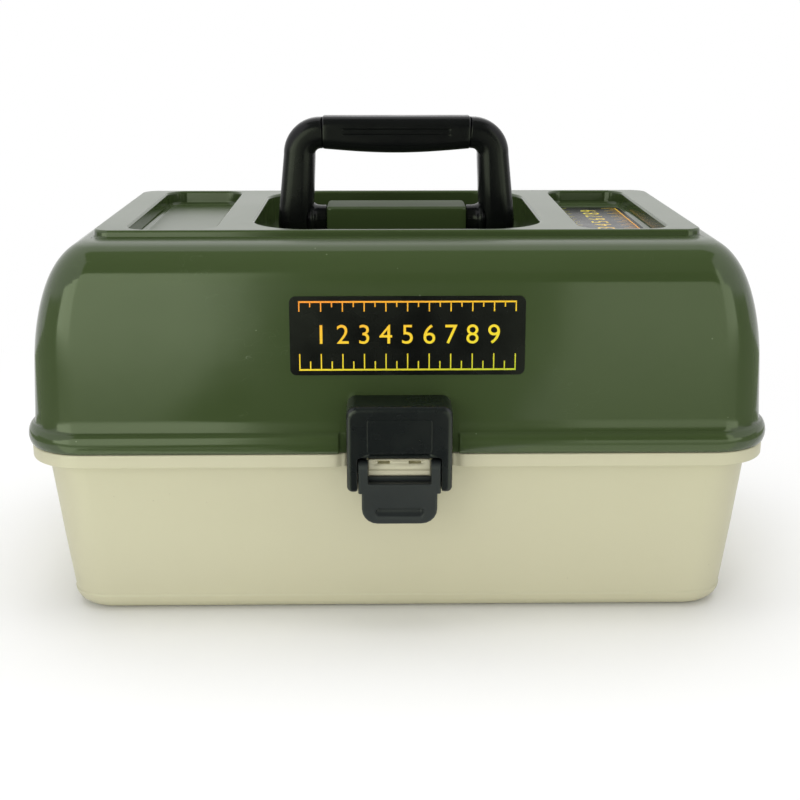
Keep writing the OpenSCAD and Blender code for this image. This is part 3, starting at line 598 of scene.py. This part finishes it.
def makeTub():
    skin = Skin()

    def loop(halfX, radius, z, deep=None):
        halfY = halfX - tub["rimShallower"]
        setBack = tub["setBack"] if halfX > 175 else 0
        row = tubRow(-halfY, z, setBack, deep)
        return planLoop((halfX, halfY), radius, z, steps=tub["cornerSteps"], front=row)

    rim = [loop(*values) for values in tub["flange"] + tub["tongue"]]
    first, last = skin.sweep(tubWallRings(0) + rim + tubWallRings(tub["wall"])[::-1])
    skin.fill([first], down)
    skin.fill([last], up)

    y, z = lid["hinge"]
    low, (high, bend) = tub["leafLow"], tub["leafHigh"]
    leaf = [(tub["leafY"], low), (y - 0.6, low), (y, low + 0.6)] + knuckleCurve(20, 181, 12)
    leaf += [(y - 1, z + 4.7), (y - 4.75, bend), (y - 4.8, high), (tub["leafY"], high)]
    for side in (-1, 1):
        for s in (-1, 1):
            near = side * lid["hingeX"] + s * (lid["knuckleHalf"] + tub["hingeGap"])
            far = near + s * lid["knuckleHalf"]
            skin.prism(leaf, min(near, far), max(near, far), "x", 0.4)
        skin.turned(tub["bossSteps"], tub["boss"], side=side)
    return skin.piece("tubShell", "base", "beige", ["base_tub"])


makeTub()
print("tub made")


keeper = {
    "half": 14.5, "front": -111, "face": -109.8, "back": -94, "top": 87.1, "low": 79.1,
    "slotX": 7.25, "slotHalf": 2.9, "slotZ": (84.8, 86.5), "slotDeep": 5, "slotFall": 1.4,
}


def makeKeeper():
    back, top, low = keeper["back"], keeper["top"], keeper["low"]
    slotLow, slotHigh = keeper["slotZ"]

    def section(x, depth=0.0, cut=0.0):  # (y, z) round the keeper at one x; depth opens its slot
        fall = keeper["slotFall"] * depth / keeper["slotDeep"]
        front, face = keeper["front"] + cut, keeper["face"] + cut
        path = [
            (back, low + 2 + cut, 0), (keeper["front"] + 3, low + cut, 0.3), (front + 0.6, low + cut, 0.3),
            (front, low + 0.8, 0.4), (front, low + 2.5, 0.4), (face, low + 3.3, 0.4),
            (face, slotLow, 0), (face + depth, slotLow - fall, 0), (face + depth, slotHigh, 0),
            (face, slotHigh, 0), (face, top - 0.3, 0.2), (face + 0.3, top - cut, 0.2), (back, top - cut, 0),
        ]
        return [(x, y, z) for y, z in roundLoop(path, 3)]

    skin = Skin()
    end, deep = keeper["half"], keeper["slotDeep"]
    rings = [section(-end, 0, 0.5), section(-end + 0.15, 0, 0.15), section(-end + 0.5)]
    for side in (-1, 1):
        near, far = side * keeper["slotX"] - keeper["slotHalf"], side * keeper["slotX"] + keeper["slotHalf"]
        rings += [section(near), section(near, deep), section(far, deep), section(far)]
    rings += [section(end - 0.5), section(end - 0.15, 0, 0.15), section(end, 0, 0.5)]
    skin.closed(rings)
    # the keeper takes the lighter beige, painted light against the shade under the hood
    return skin.piece("keeper", "base", "keeper", ["base_tub"])


makeKeeper()


def fronted(skin, rings, hollow):  # rings from back to front, closed by a face with one hollow in it
    back, face = skin.sweep(rings)
    mouth, bottom = skin.sweep(hollow)
    skin.fill([face, mouth], (0, -1, 0))
    skin.fill([bottom], (0, -1, 0))
    skin.fill([back], (0, 1, 0))
    bmesh.ops.remove_doubles(skin.mesh, verts=skin.mesh.verts, dist=2e-6)
    bmesh.ops.recalc_face_normals(skin.mesh, faces=skin.mesh.faces[:])


def roundedFront(loop, front, edge):  # rings that round an outline over into its front face
    turns = [pi / 2 * i / 6 for i in range(7)]
    return [loop(front + edge * (1 - sin(a)), edge * (1 - cos(a))) for a in turns]


hood = {
    "half": 24.4, "cheekIn": 19.4, "top": 115.6, "topFront": 115,
    "front": -119, "innerY": -116, "backY": -101.55, "low": 73.9, "lintel": 90.6, "hollowTop": 105.6,
    "corner": 4.4, "edge": 2.3, "tipRound": 2.9, "cheekRound": 1.2, "roofRound": 1.5,
    "padHalf": 15, "padZ": (93.3, 109), "padOut": 0.45, "slotHalf": 14, "slotZ": (92.1, 93), "slotDeep": 0.9,
    "screwX": 14, "screwZ": 101.2, "screwY": (-116.5, -101.8), "screwRadius": 4,
    "ribX": (15.2, 19.6), "ribY": (-110.9, -101.7), "ribZ": (84, 105.8),
}


def hoodLoop(y, cut=0.0, lintel=None, lean=False):  # the hood's outline at one depth, seen from the front
    half, inner = hood["half"] - cut, hood["cheekIn"] + 0.2 * cut
    share = (y - hood["front"]) / (hood["backY"] - hood["front"])
    top = hood["topFront"] + (hood["top"] - hood["topFront"]) * share - cut
    low = hood["low"] + 0.6 * cut
    roof = (lintel or hood["lintel"]) + 0.2 * cut
    right = [
        (inner, roof, hood["roofRound"]), (inner, low, hood["cheekRound"]),
        (half, low, hood["tipRound"]), (half, top, hood["corner"] - cut / 2),
    ]
    outline = roundLoop([(-x, z, r) for x, z, r in right[::-1]] + right, 6)
    slope = tan(radians(lid["draft"]))
    return [(x, y + max(0, z - lid["beadTop"]) * slope if lean else y, z) for x, z in outline]


def makeHood():
    skin = Skin()
    edge, front = hood["edge"], hood["front"]
    back, inner, roof = hood["backY"], hood["innerY"], hood["hollowTop"]
    rings = [hoodLoop(back, 0, roof, True), hoodLoop(inner, 0, roof), hoodLoop(inner)]
    rings += roundedFront(hoodLoop, front, edge)
    low, high = hood["slotZ"]
    wide = hood["slotHalf"]
    slot = roundBox(-wide, wide, low, high, 0.4, 0.4, 3)
    fronted(skin, rings, [[(x, front + depth, z) for x, z in slot] for depth in (0, hood["slotDeep"])])
    low, high = hood["padZ"]
    wide = hood["padHalf"]
    pad = roundBox(-wide, wide, low, high, 1.4, 1.1, 4)
    skin.prism(pad, front - hood["padOut"], front + 0.6, "y", 0.4, 4, 1.0)
    (nearY, farY), (low, high) = hood["ribY"], hood["ribZ"]
    rib = [(nearY, low), (farY, low), (farY, high), (nearY, high)]
    column = [(y, hood["screwRadius"]) for y in hood["screwY"]]
    for side in (-1, 1):
        skin.turned(column, (side * hood["screwX"], hood["screwZ"]), "y")
        skin.prism(rib, *sorted(side * x for x in hood["ribX"]), "x", 0.3)
    return skin.piece("latchHood", "lid", "hood", ["latch_hood"], merge=False)


makeHood()


lever = {
    "half": 19.2, "armIn": 14.6, "front": -118.5, "back": -111.5, "pivot": (-115, 85.1), "edge": 1.1,
    "archY": (-111.5, -111.3, -110.7, -109.9, -114), "tabY": (-114, -115, -116.2, -117),
    "tabHalf": 17.6, "tip": 58, "tipRound": 8, "shoulder": 72.9, "window": 77.8,
    "hookTop": 79.7, "hookLow": 76.6, "pin": 2, "pinTip": 22.3,
    "grooveHalf": 11.5, "grooveZ": (61.5, 66.1), "grooveRound": 2, "grooveDeep": 2.4,
    "grooveIn": (2.7, 0.5, 1.5),  # how far its lower, upper and side edges come in towards its floor
}


def leverLoop(y, cut=0.0, tab=True):  # the lever's outline at one depth, with round tops to its arms
    half, tabHalf, armIn = lever["half"] - cut, lever["tabHalf"] - cut, lever["armIn"] + 0.4 * cut
    shoulder = lever["shoulder"] + 0.4 * cut
    tip = lever["tip"] + cut if tab else shoulder - 0.02
    radius = (lever["back"] - lever["front"]) / 2
    top = lever["pivot"][1] + sqrt(max(0, radius ** 2 - (y - lever["pivot"][0]) ** 2))
    window = lever["window"] - 0.6 * cut
    right = [
        (tabHalf, tip, lever["tipRound"] - cut / 2), (tabHalf, shoulder, 0.4), (half, shoulder, 0.5),
        (half, top, 0.3), (armIn, top, 0.3), (armIn, window, 0.7),
    ]
    outline = roundLoop(right + [(-x, z, r) for x, z, r in right[::-1]], 5)
    return [(x, y, z) for x, z in outline]


def leverGroove(share):  # scooped: steep at its upper edge, sloping at its lower one
    low, high = lever["grooveZ"]
    lower, upper, sides = [share * inwards for inwards in lever["grooveIn"]]
    half, soft = lever["grooveHalf"] - sides, lever["grooveRound"]
    loop = roundBox(-half, half, low + lower, high - upper, soft, soft, 5)
    return [(x, lever["front"] + lever["grooveDeep"] * sin(pi / 2 * share), z) for x, z in loop]


def makeLever():
    skin = Skin()
    edge, front, back = lever["edge"], lever["front"], lever["back"]
    rings = [leverLoop(y, 0, False) for y in lever["archY"]] + [leverLoop(y) for y in lever["tabY"]]
    rings += roundedFront(leverLoop, front, edge)
    fronted(skin, rings, [leverGroove(i / 6) for i in range(7)])
    low, top = lever["hookLow"], lever["hookTop"]
    hook = roundLoop([(back - 1.8, low, 0), (back, low, 0), (back, top, 0.4), (back - 1.5, top, 0.4)], 3)
    skin.prism(hook, -lever["armIn"] - 0.4, lever["armIn"] + 0.4, "x", 0)
    pin = [(x, lever["pin"]) for x in (lever["armIn"] + 1, lever["pinTip"])]
    for side in (-1, 1):
        skin.turned(pin, lever["pivot"], side=side)
    return skin.piece("latchLever", "lever", "lever", ["latch_lever"], merge=False)


makeLever()
print("latch made")


handle = {
    "pivot": 183, "footIn": 43.5, "footOut": 61.9, "footEase": 2.8, "gripIn": 42, "gripOut": 58.2,
    "half": 9, "soft": 6.4, "bend": 18.5, "bendX": 39.7, "bendZ": 217, "endX": 38.05, "underZ": 219.8,
    "innerRound": 3, "legShares": (0.12, 0.3, 0.5, 0.7, 0.88, 1), "stub": 5, "stubX": (28.3, 36.7),
    "neck": 7.2, "neckSteps": [
        (36.6, -0.6), (36.7, -0.2), (37.1, 0), (39.5, 0), (41.2, 0.2), (42.6, 0.8), (43.6, 1.9), (46, 2),
    ],
    "top": 236.2, "sleeveHalf": 38, "sleeveHigh": 16.4, "belly": 2.1, "sleeveY": 9.5, "sleeveRound": 5.6,
    "grooveZ": (229.7, 227.1), "grooveHalf": 27.5, "grooveWide": 0.45, "grooveDeep": 0.4,
}


def blend(start, end, share):
    return start + (end - start) * share


def barSection(inner, outer, halfY):  # soft box between two points of the XZ plane
    inner, outer = Vector(inner), Vector(outer)
    middle, across = (inner + outer) / 2, outer - inner
    halfU = across.length / 2
    soft = min(handle["soft"], halfU * 0.95, halfY * 0.95)
    ring = []
    for x, y, z in planLoop((halfU, halfY), soft, 0, steps=7):
        at = middle + across.normalized() * x
        ring.append((at.x, y, at.y))
    return ring


def barStations():  # (inner point, outer point, half thickness) from the foot up and round the bend
    pivot, half = handle["pivot"], handle["half"]
    footIn, footOut, gripIn, gripOut = [handle[name] for name in ("footIn", "footOut", "gripIn", "gripOut")]
    stations = []
    for i in range(13):  # round foot
        a = pi / 2 * i / 12
        ease = handle["footEase"] * (1 - min(1, 2.2 * i / 12)) ** 2
        z = pivot - half * cos(a)
        stations.append(((footIn + ease, z), (footOut - ease, z), max(0.6, half * sin(a))))
    r, under = handle["innerRound"], handle["underZ"]
    turnZ = under - r
    for share in handle["legShares"]:
        inner = (blend(footIn, gripIn, share), blend(pivot, turnZ - 1.5, share))
        outer = (blend(footOut, gripOut, share), blend(pivot, handle["bendZ"], share))
        stations.append((inner, outer, half))
    count = 20
    for i in range(1, count + 1):  # the inner side turns early and sharply, the outer side all the way
        t = i / count
        a = pi / 2 * min(1, max(0, (t - 0.15) / 0.6))
        inner = (gripIn - r + r * cos(a), turnZ - 1.5 * max(0, 1 - t / 0.15) + r * sin(a))
        if t > 0.75:
            inner = (blend(gripIn - r, handle["endX"], (t - 0.75) / 0.25), under)
        a = pi / 2 * t
        outer = (handle["bendX"] + handle["bend"] * cos(a), handle["bendZ"] + handle["bend"] * sin(a))
        stations.append((inner, outer, half))
    stations.append(((handle["endX"], under), (handle["endX"], handle["bendZ"] + handle["bend"]), half))
    return stations


def makeBar():
    skin = Skin()
    at, stub = (0, handle["pivot"]), handle["stub"]
    nearX, farX = handle["stubX"]
    neck = [(x, handle["neck"] + more) for x, more in handle["neckSteps"]]
    sections = [barSection(*station) for station in barStations()]
    for side in (-1, 1):
        skin.closed([[(side * x, y, z) for x, y, z in ring] for ring in sections])
        skin.turned(neck, at, side=side)
        skin.turned([(nearX, stub - 0.3), (nearX + 0.2, stub), (farX, stub)], at, side=side)
    return skin.piece("handleBar", "handle", "handle", ["handle_frame"], merge=False)


def sleeveSection(x, cut):
    belly = handle["belly"] * cos(pi / 2 * x / handle["sleeveHalf"])
    low, high = handle["top"] - handle["sleeveHigh"] - belly + cut, handle["top"] - cut
    middle, halfY = (high + low) / 2, handle["sleeveY"] - cut
    depth = handle["grooveDeep"] * min(1, max(0, (handle["grooveHalf"] - abs(x)) / 0.4))
    row = []
    for z in handle["grooveZ"]:
        for step, share in ((1, 0), (0.5, 0.8), (-0.5, 0.8), (-1, 0)):
            row.append((z + step * handle["grooveWide"], share * depth))
    front = [(-halfY + inward, z - middle) for z, inward in row]
    half, radius = (halfY, (high - low) / 2), handle["sleeveRound"] - cut / 2
    ring = [(u, v) for u, v, w in planLoop(half, radius, 0, steps=8)]
    quarter = 2 * 9  # the front side starts after two quarters of the ring
    ring = ring[:quarter] + front + ring[quarter:]
    return [(x, u, middle + v) for u, v in ring]


def makeSleeve():
    half, groove = handle["sleeveHalf"], handle["grooveHalf"]
    spots = [half - back for back in (0, 0.15, 0.5, 1, 3, 6)] + [groove - back for back in (-1, 0, 0.2, 0.4)]
    spots += [groove - 1.5 - i * 2 for i in range(13)]
    skin = Skin()
    rings = []
    for x in sorted([-x for x in spots] + spots):
        end = max(0, abs(x) - (half - 1))
        rings.append(sleeveSection(x, 0.8 * (1 - sqrt(max(0, 1 - end ** 2)))))
    skin.closed(rings)
    return skin.piece("gripSleeve", "handle", "handle", ["handle_grip"])


makeBar()
makeSleeve()
print("handle made")


trays = {
    "endX": 160, "front": -88, "wall": 2, "floor": 2, "radius": 8,
    "ribOut": 1.4, "slotHalf": 0.85, "ribWide": 1.2,
    # height of the underside, depth, height, and loose dividers in the front and the rear row
    "lower": (66, 168, 37, (2, 2)), "upper": (105, 150, 34, (4, 2)),
}


def makeTray(name, body, node, z, depth, height, counts):
    skin = Skin()
    front, wall, end, radius = trays["front"], trays["wall"], trays["endX"], trays["radius"]
    top, floor = z + height, z + trays["floor"]
    path = [(8, z, 0), (0, z, 2.2), (0, top, 0.7), (1.4, top, 0)]
    first, last = skin.sweep(insetRings((end, depth / 2), radius, path, (0, front + depth / 2))[:-1])
    skin.fill([first], down)
    tops = [last]
    middle = front + depth / 2
    rows = [(front + wall, middle - wall / 2), (middle + wall / 2, front + depth - wall)]
    path = [(-1, top, 0), (0, top, 0.6), (0, floor, 3), (5, floor, 0)]
    for y0, y1 in rows:
        room = insetRings((end - wall, (y1 - y0) / 2), radius - wall, path, (0, (y0 + y1) / 2))
        edge, bottom = skin.sweep(room[1:])
        tops.append(edge)
        skin.fill([bottom], up)
    skin.fill(tops, up)
    slot, out = trays["slotHalf"], trays["ribOut"]
    for (y0, y1), count in zip(rows, counts):
        ribs = ((y0 - 0.2, y0 + out, 0, 0.35), (y1 - out, y1 + 0.2, 0.35, 0))
        for i in range(1, count + 1):
            x = -end + 2 * i * end / (count + 1)
            for s in (-1, 1):
                low, high = sorted((x + s * slot, x + s * (slot + trays["ribWide"])))
                for near, far, soft, farSoft in ribs:
                    rib = roundBox(low, high, near, far, soft, farSoft, 3)
                    skin.prism(rib, floor - 0.4, top - 4, "z", 0.3, 2, 1.2)
    return skin.piece(name, body, "tray", [node], merge=False)


makeTray("lowerTray", "lower_tray_set", "lower_tray", *trays["lower"])
makeTray("upperTray", "upper_tray_set", "upper_tray", *trays["upper"])
print("trays made")


# nodes that keep their own shape get a finish and softened edges: finish, bevel, segments
kept = {
    "front_label": ("film", 0.08, 2), "top_label": ("film", 0.08, 2),
    "hood_screws": ("steel", 0.35, 3),
}
for side in ("left", "right"):
    for name in ("lid_plate", "front_arm"):
        kept[name + "_" + side] = ("steel", 0.25, 2)
    for name in ("hinge_pin", "arm_screw", "lid_plate_screws", "lower_rivets", "upper_rivets"):
        kept[name + "_" + side] = ("steel", 0.35, 3)
for name in ("lower_front", "lower_rear", "upper_front", "upper_rear"):
    kept[name + "_dividers"] = ("tray", 0.35, 2)


def keepNode(name, finish, bevel, segments):
    item = nodes[name]
    item.data.materials.clear()
    item.data.materials.append(finishes[finish])
    item.modifiers.new("weld", "WELD").merge_threshold = 2e-6
    flat = item.modifiers.new("mergeFlats", "DECIMATE")
    flat.decimate_type = "DISSOLVE"
    flat.angle_limit = radians(0.6)
    edge = item.modifiers.new("softEdges", "BEVEL")
    edge.width, edge.segments = bevel * mm, segments
    edge.limit_method, edge.angle_limit = "ANGLE", radians(32)
    evenShading(item)


for name, choice in kept.items():
    keepNode(name, *choice)
print("nodes kept:", len(kept))


scale = {
    "half": 50, "edge": 18.5, "step": 5, "margin": 2.6, "short": 4, "long": 7.5, "farShare": 0.6,
    "tickHalf": 0.275, "lineHalf": 0.4, "lineOver": 0.3, "digitSize": 12.8, "digitStep": 10, "digitLow": -3.6,
    "lift": 0.34, "frontX": 4, "frontZ": 143.7,
}


def makeScale(name, finish, place):  # a plain rule: ticks along both long edges, and numbers between them
    skin = Skin()

    def bar(x, halfWide, low, high):
        left, right = x - halfWide, x + halfWide
        skin.mesh.faces.new(skin.ring([(left, low, 0), (right, low, 0), (right, high, 0), (left, high, 0)]))

    low = scale["margin"] - scale["edge"]
    for i in range(int(2 * scale["half"] / scale["step"]) + 1):
        x = i * scale["step"] - scale["half"]
        high = scale["long"] if i % 2 == 0 else scale["short"]
        bar(x, scale["tickHalf"], low, low + high)
        bar(x, scale["tickHalf"], -low - high * scale["farShare"], -low)
    for y in (low, -low):
        bar(0, scale["half"] + scale["lineOver"], y - scale["lineHalf"], y + scale["lineHalf"])
    for i in range(1, 10):
        text = bpy.data.curves.new("digit", "FONT")
        text.body, text.size, text.align_x = str(i), scale["digitSize"] * mm, "CENTER"
        holder = placed("digit", text)
        bpy.context.view_layer.update()
        flat = bpy.data.meshes.new_from_object(holder.evaluated_get(bpy.context.evaluated_depsgraph_get()))
        x = scale["digitStep"] * i - scale["half"]
        flat.transform(Matrix.Translation((x * mm, scale["digitLow"] * mm, 0)))
        skin.mesh.from_mesh(flat)
        bpy.data.objects.remove(holder)
    item = skin.piece(name, "lid", finish)
    item.data.transform(place)
    item.data.shade_flat()
    return item


wallY = (scale["frontZ"] - lid["beadTop"]) * tan(radians(lid["draft"])) - lidHalf[1]
frontAt = Vector((scale["frontX"], wallY, scale["frontZ"])) * mm
upWall = Matrix.Rotation(radians(90 - lid["draft"]), 4, "X") @ Matrix.Translation((0, 0, scale["lift"] * mm))
topAt = Vector((lid["pocketX"], 0, lid["pocketFloor"] + scale["lift"])) * mm
makeScale("frontScale", "inkFront", Matrix.Translation(frontAt) @ upWall)
makeScale("topScale", "inkTop", Matrix.Translation(topAt) @ Matrix.Rotation(radians(90), 4, "Z"))
print("scales printed")


# the studio: a white floor and sky, soft lamps, and cards that only reflections see
studio = {
    "floorSize": 6, "floorZ": -0.0002, "whiteFrom": 0.2, "whiteTo": 0.55, "world": 0.6,
    "top": 16, "key": 4.6, "fill": 0.8, "front": 2,
    "left": 2.0, "leftStrip": 2.9, "leftEnd": 3.0, "right": 1.2, "rightStrip": 1.9, "rightEnd": 2.0,
    "nearLeft": 1.9, "nearRight": 1.2, "side": 0.35, "dark": 0.012, "ceiling": 0.14, "tint": (1, 1.14, 0.8),
    "cardZ": 0.004, "backY": -1.3, "nearY": -0.36, "wide": 2.4,
    "gap": (-0.2, 0.035, 0.25),  # the dark gap between the bright cards: left, near right and far right
}


def makeFloor():
    mesh = bpy.data.meshes.new("studioFloor")
    size, z = studio["floorSize"], studio["floorZ"]
    corners = [(-size, -size, z), (size, -size, z), (size, size, z), (-size, size, z)]
    mesh.from_pydata(corners, [], [(0, 1, 2, 3)])
    f = NodeSet(bpy.data.materials.new("paleFloor"))
    seen = f.seen() > 0.5
    length = f.node("ShaderNodeVectorMath", {"operation": "LENGTH"}, {0: f.coordinates("Object")})
    far = f.between(length.output("Value"), studio["whiteFrom"], studio["whiteTo"])
    pale = f.shader({"Base Color": (0.93, 0.93, 0.93, 1), "Roughness": 0.9, "Specular IOR Level": 0.0})
    white = f.node("ShaderNodeEmission", {}, {"Color": (1, 1, 1, 1), "Strength": 1.0})
    both = f.node("ShaderNodeMixShader", {}, {0: far * seen, 1: pale, 2: white})
    mesh.materials.append(f.surface(both))
    placed("studioFloor", mesh)


def makeWorld():
    world = bpy.data.worlds.new("studioWorld")
    bpy.context.scene.world = world
    w = NodeSet(world)
    strength = w.between(w.seen(), 0, 1, studio["world"], 1.0)
    sky = w.node("ShaderNodeBackground", {}, {"Color": (1, 1, 1, 1), "Strength": strength})
    w.surface(sky, "ShaderNodeOutputWorld")


def makeLamp(name, at, target, size, power):
    data = bpy.data.lights.new(name, "AREA")
    data.shape, data.energy = "RECTANGLE", power
    data.size, data.size_y = size
    lamp = placed(name, data)
    lamp.location = at
    lamp.rotation_euler = (Vector(target) - lamp.location).to_track_quat("-Z", "Y").to_euler()
    lamp.visible_camera = lamp.visible_glossy = False


def makeCard(name, corners, glow, fade=None):  # fade: (y where it is full, y where it ends, share left there)
    mesh = bpy.data.meshes.new(name)
    mesh.from_pydata(corners, [], [(0, 1, 2, 3)])
    card = placed(name, mesh)
    f = NodeSet(bpy.data.materials.new(name))
    color = tuple(glow * c for c in studio["tint"]) + (1,)
    if fade:
        dim = tuple(fade[2] * c for c in color[:3]) + (1,)
        color = f.mix(f.between(f.axis(f.coordinates("Object"), "Y"), fade[0], fade[1]), color, dim)
    mesh.materials.append(f.surface(f.shader({
        "Base Color": (0, 0, 0, 1), "Roughness": 1.0, "Specular IOR Level": 0.0,
        "Emission Color": color, "Emission Strength": 1.0,
    })))
    card.visible_camera = card.visible_diffuse = card.visible_shadow = card.visible_transmission = False


def upright(x0, x1, low, high):
    y = studio["backY"]
    return [(x0, y, low), (x1, y, low), (x1, y, high), (x0, y, high)]


def lying(*points):
    return [(x, y, studio["cardZ"]) for x, y in points]


def makeCards():
    z, back, near, wide = studio["cardZ"], studio["backY"], studio["nearY"], studio["wide"]
    leftFade, rightFade = (back, -0.6, 0.3), (back, -0.6, 0.45)
    left, rightNear, right = studio["gap"]
    ridge = [(1.2, -0.9, 2.2), (-0.9, -0.9, 2.2)]  # where the high board meets the ceiling
    cards = {
        "darkFloorCard": (lying((left, back), (right, back), (rightNear, -0.16), (left, -0.16)), "dark"),
        "darkBoard": (upright(left, right, z, 0.95), "dark"),
        "leftFloorCard": (lying((-wide, back), (left, back), (left, near), (-0.5, near)), "left", leftFade),
        "leftBoard": (upright(-0.86, left, z, 0.95), "left"),
        "leftStrip": (upright(-1.35, -0.86, z, 0.7), "leftStrip"),
        "leftEndBoard": (upright(-wide, -1.35, z, 0.5), "leftEnd"),
        "nearCardLeft": (lying((-0.5, near), (-0.1, near), (-0.05, -0.15), (-0.22, -0.15)), "nearLeft"),
        "nearCardRight": (lying((0.09, near), (0.5, near), (0.22, -0.15), (0.06, -0.15)), "nearRight"),
        "rightFloorCard": (lying((right, back), (wide, back), (0.5, near), (0.09, near)), "right", rightFade),
        "rightBoard": (upright(right, 1.0, z, 0.28), "right"),
        "rightStrip": (upright(1.0, 1.4, z, 1.5), "rightStrip"),
        "rightEndBoard": (upright(1.4, wide, z, 0.4), "rightEnd"),
        "darkRightBoard": (upright(right, 1.0, 0.28, 0.95), "dark"),
        "darkHighBoard": ([(-0.8, -1.31, 0.95), (1.0, -1.31, 0.95), *ridge], "ceiling"),
        "darkCeiling": ([*ridge[::-1], (1.2, 0.25, 1.8), (-0.9, 0.25, 1.8)], "ceiling"),
    }
    for name, s in (("Left", -1), ("Right", 1)):
        inner, edge, x = s * 0.5, s * wide, s * (wide + 0.01)
        cards["darkFloor" + name] = (lying((inner, near), (edge, back), (edge, 0.4), (inner, 0.4)), "side")
        cards["darkSide" + name] = ([(x, back, z), (x, 0.4, z), (x, 0.4, 0.3), (x, back, 0.3)], "side")
    for name, (corners, glow, *fade) in cards.items():
        makeCard(name, corners, studio[glow], *fade)


makeFloor()
makeWorld()
makeCards()
makeLamp("topLamp", (0, 0.1, 1.6), (0, 0, 0.1), (1.6, 1.2), studio["top"])
makeLamp("keyLamp", (-0.95, -1.4, 0.6), (0, 0, 0.1), (0.8, 0.8), studio["key"])
makeLamp("fillLamp", (0.9, -1.5, 0.5), (0, 0, 0.1), (0.8, 0.8), studio["fill"])
makeLamp("frontLamp", (0, -1.2, 0.13), (0, 0, 0.08), (0.5, 0.2), studio["front"])

photo = {"lens": 57.45, "at": (-8.02, -672.54, 285.07), "pitch": 16.72, "yaw": 0.848}
camera = bpy.data.cameras.new("photoCamera")
camera.lens, camera.sensor_width = photo["lens"], 36
eye = placed("photoCamera", camera)
pitch, yaw = radians(photo["pitch"]), radians(photo["yaw"])
forward = Vector((sin(yaw) * cos(pitch), cos(yaw) * cos(pitch), -sin(pitch)))
eye.location = Vector(photo["at"]) * mm
eye.rotation_euler = forward.to_track_quat("-Z", "Y").to_euler()
bpy.context.scene.camera = eye
bpy.context.scene.view_settings.view_transform = "Standard"
print("studio made")
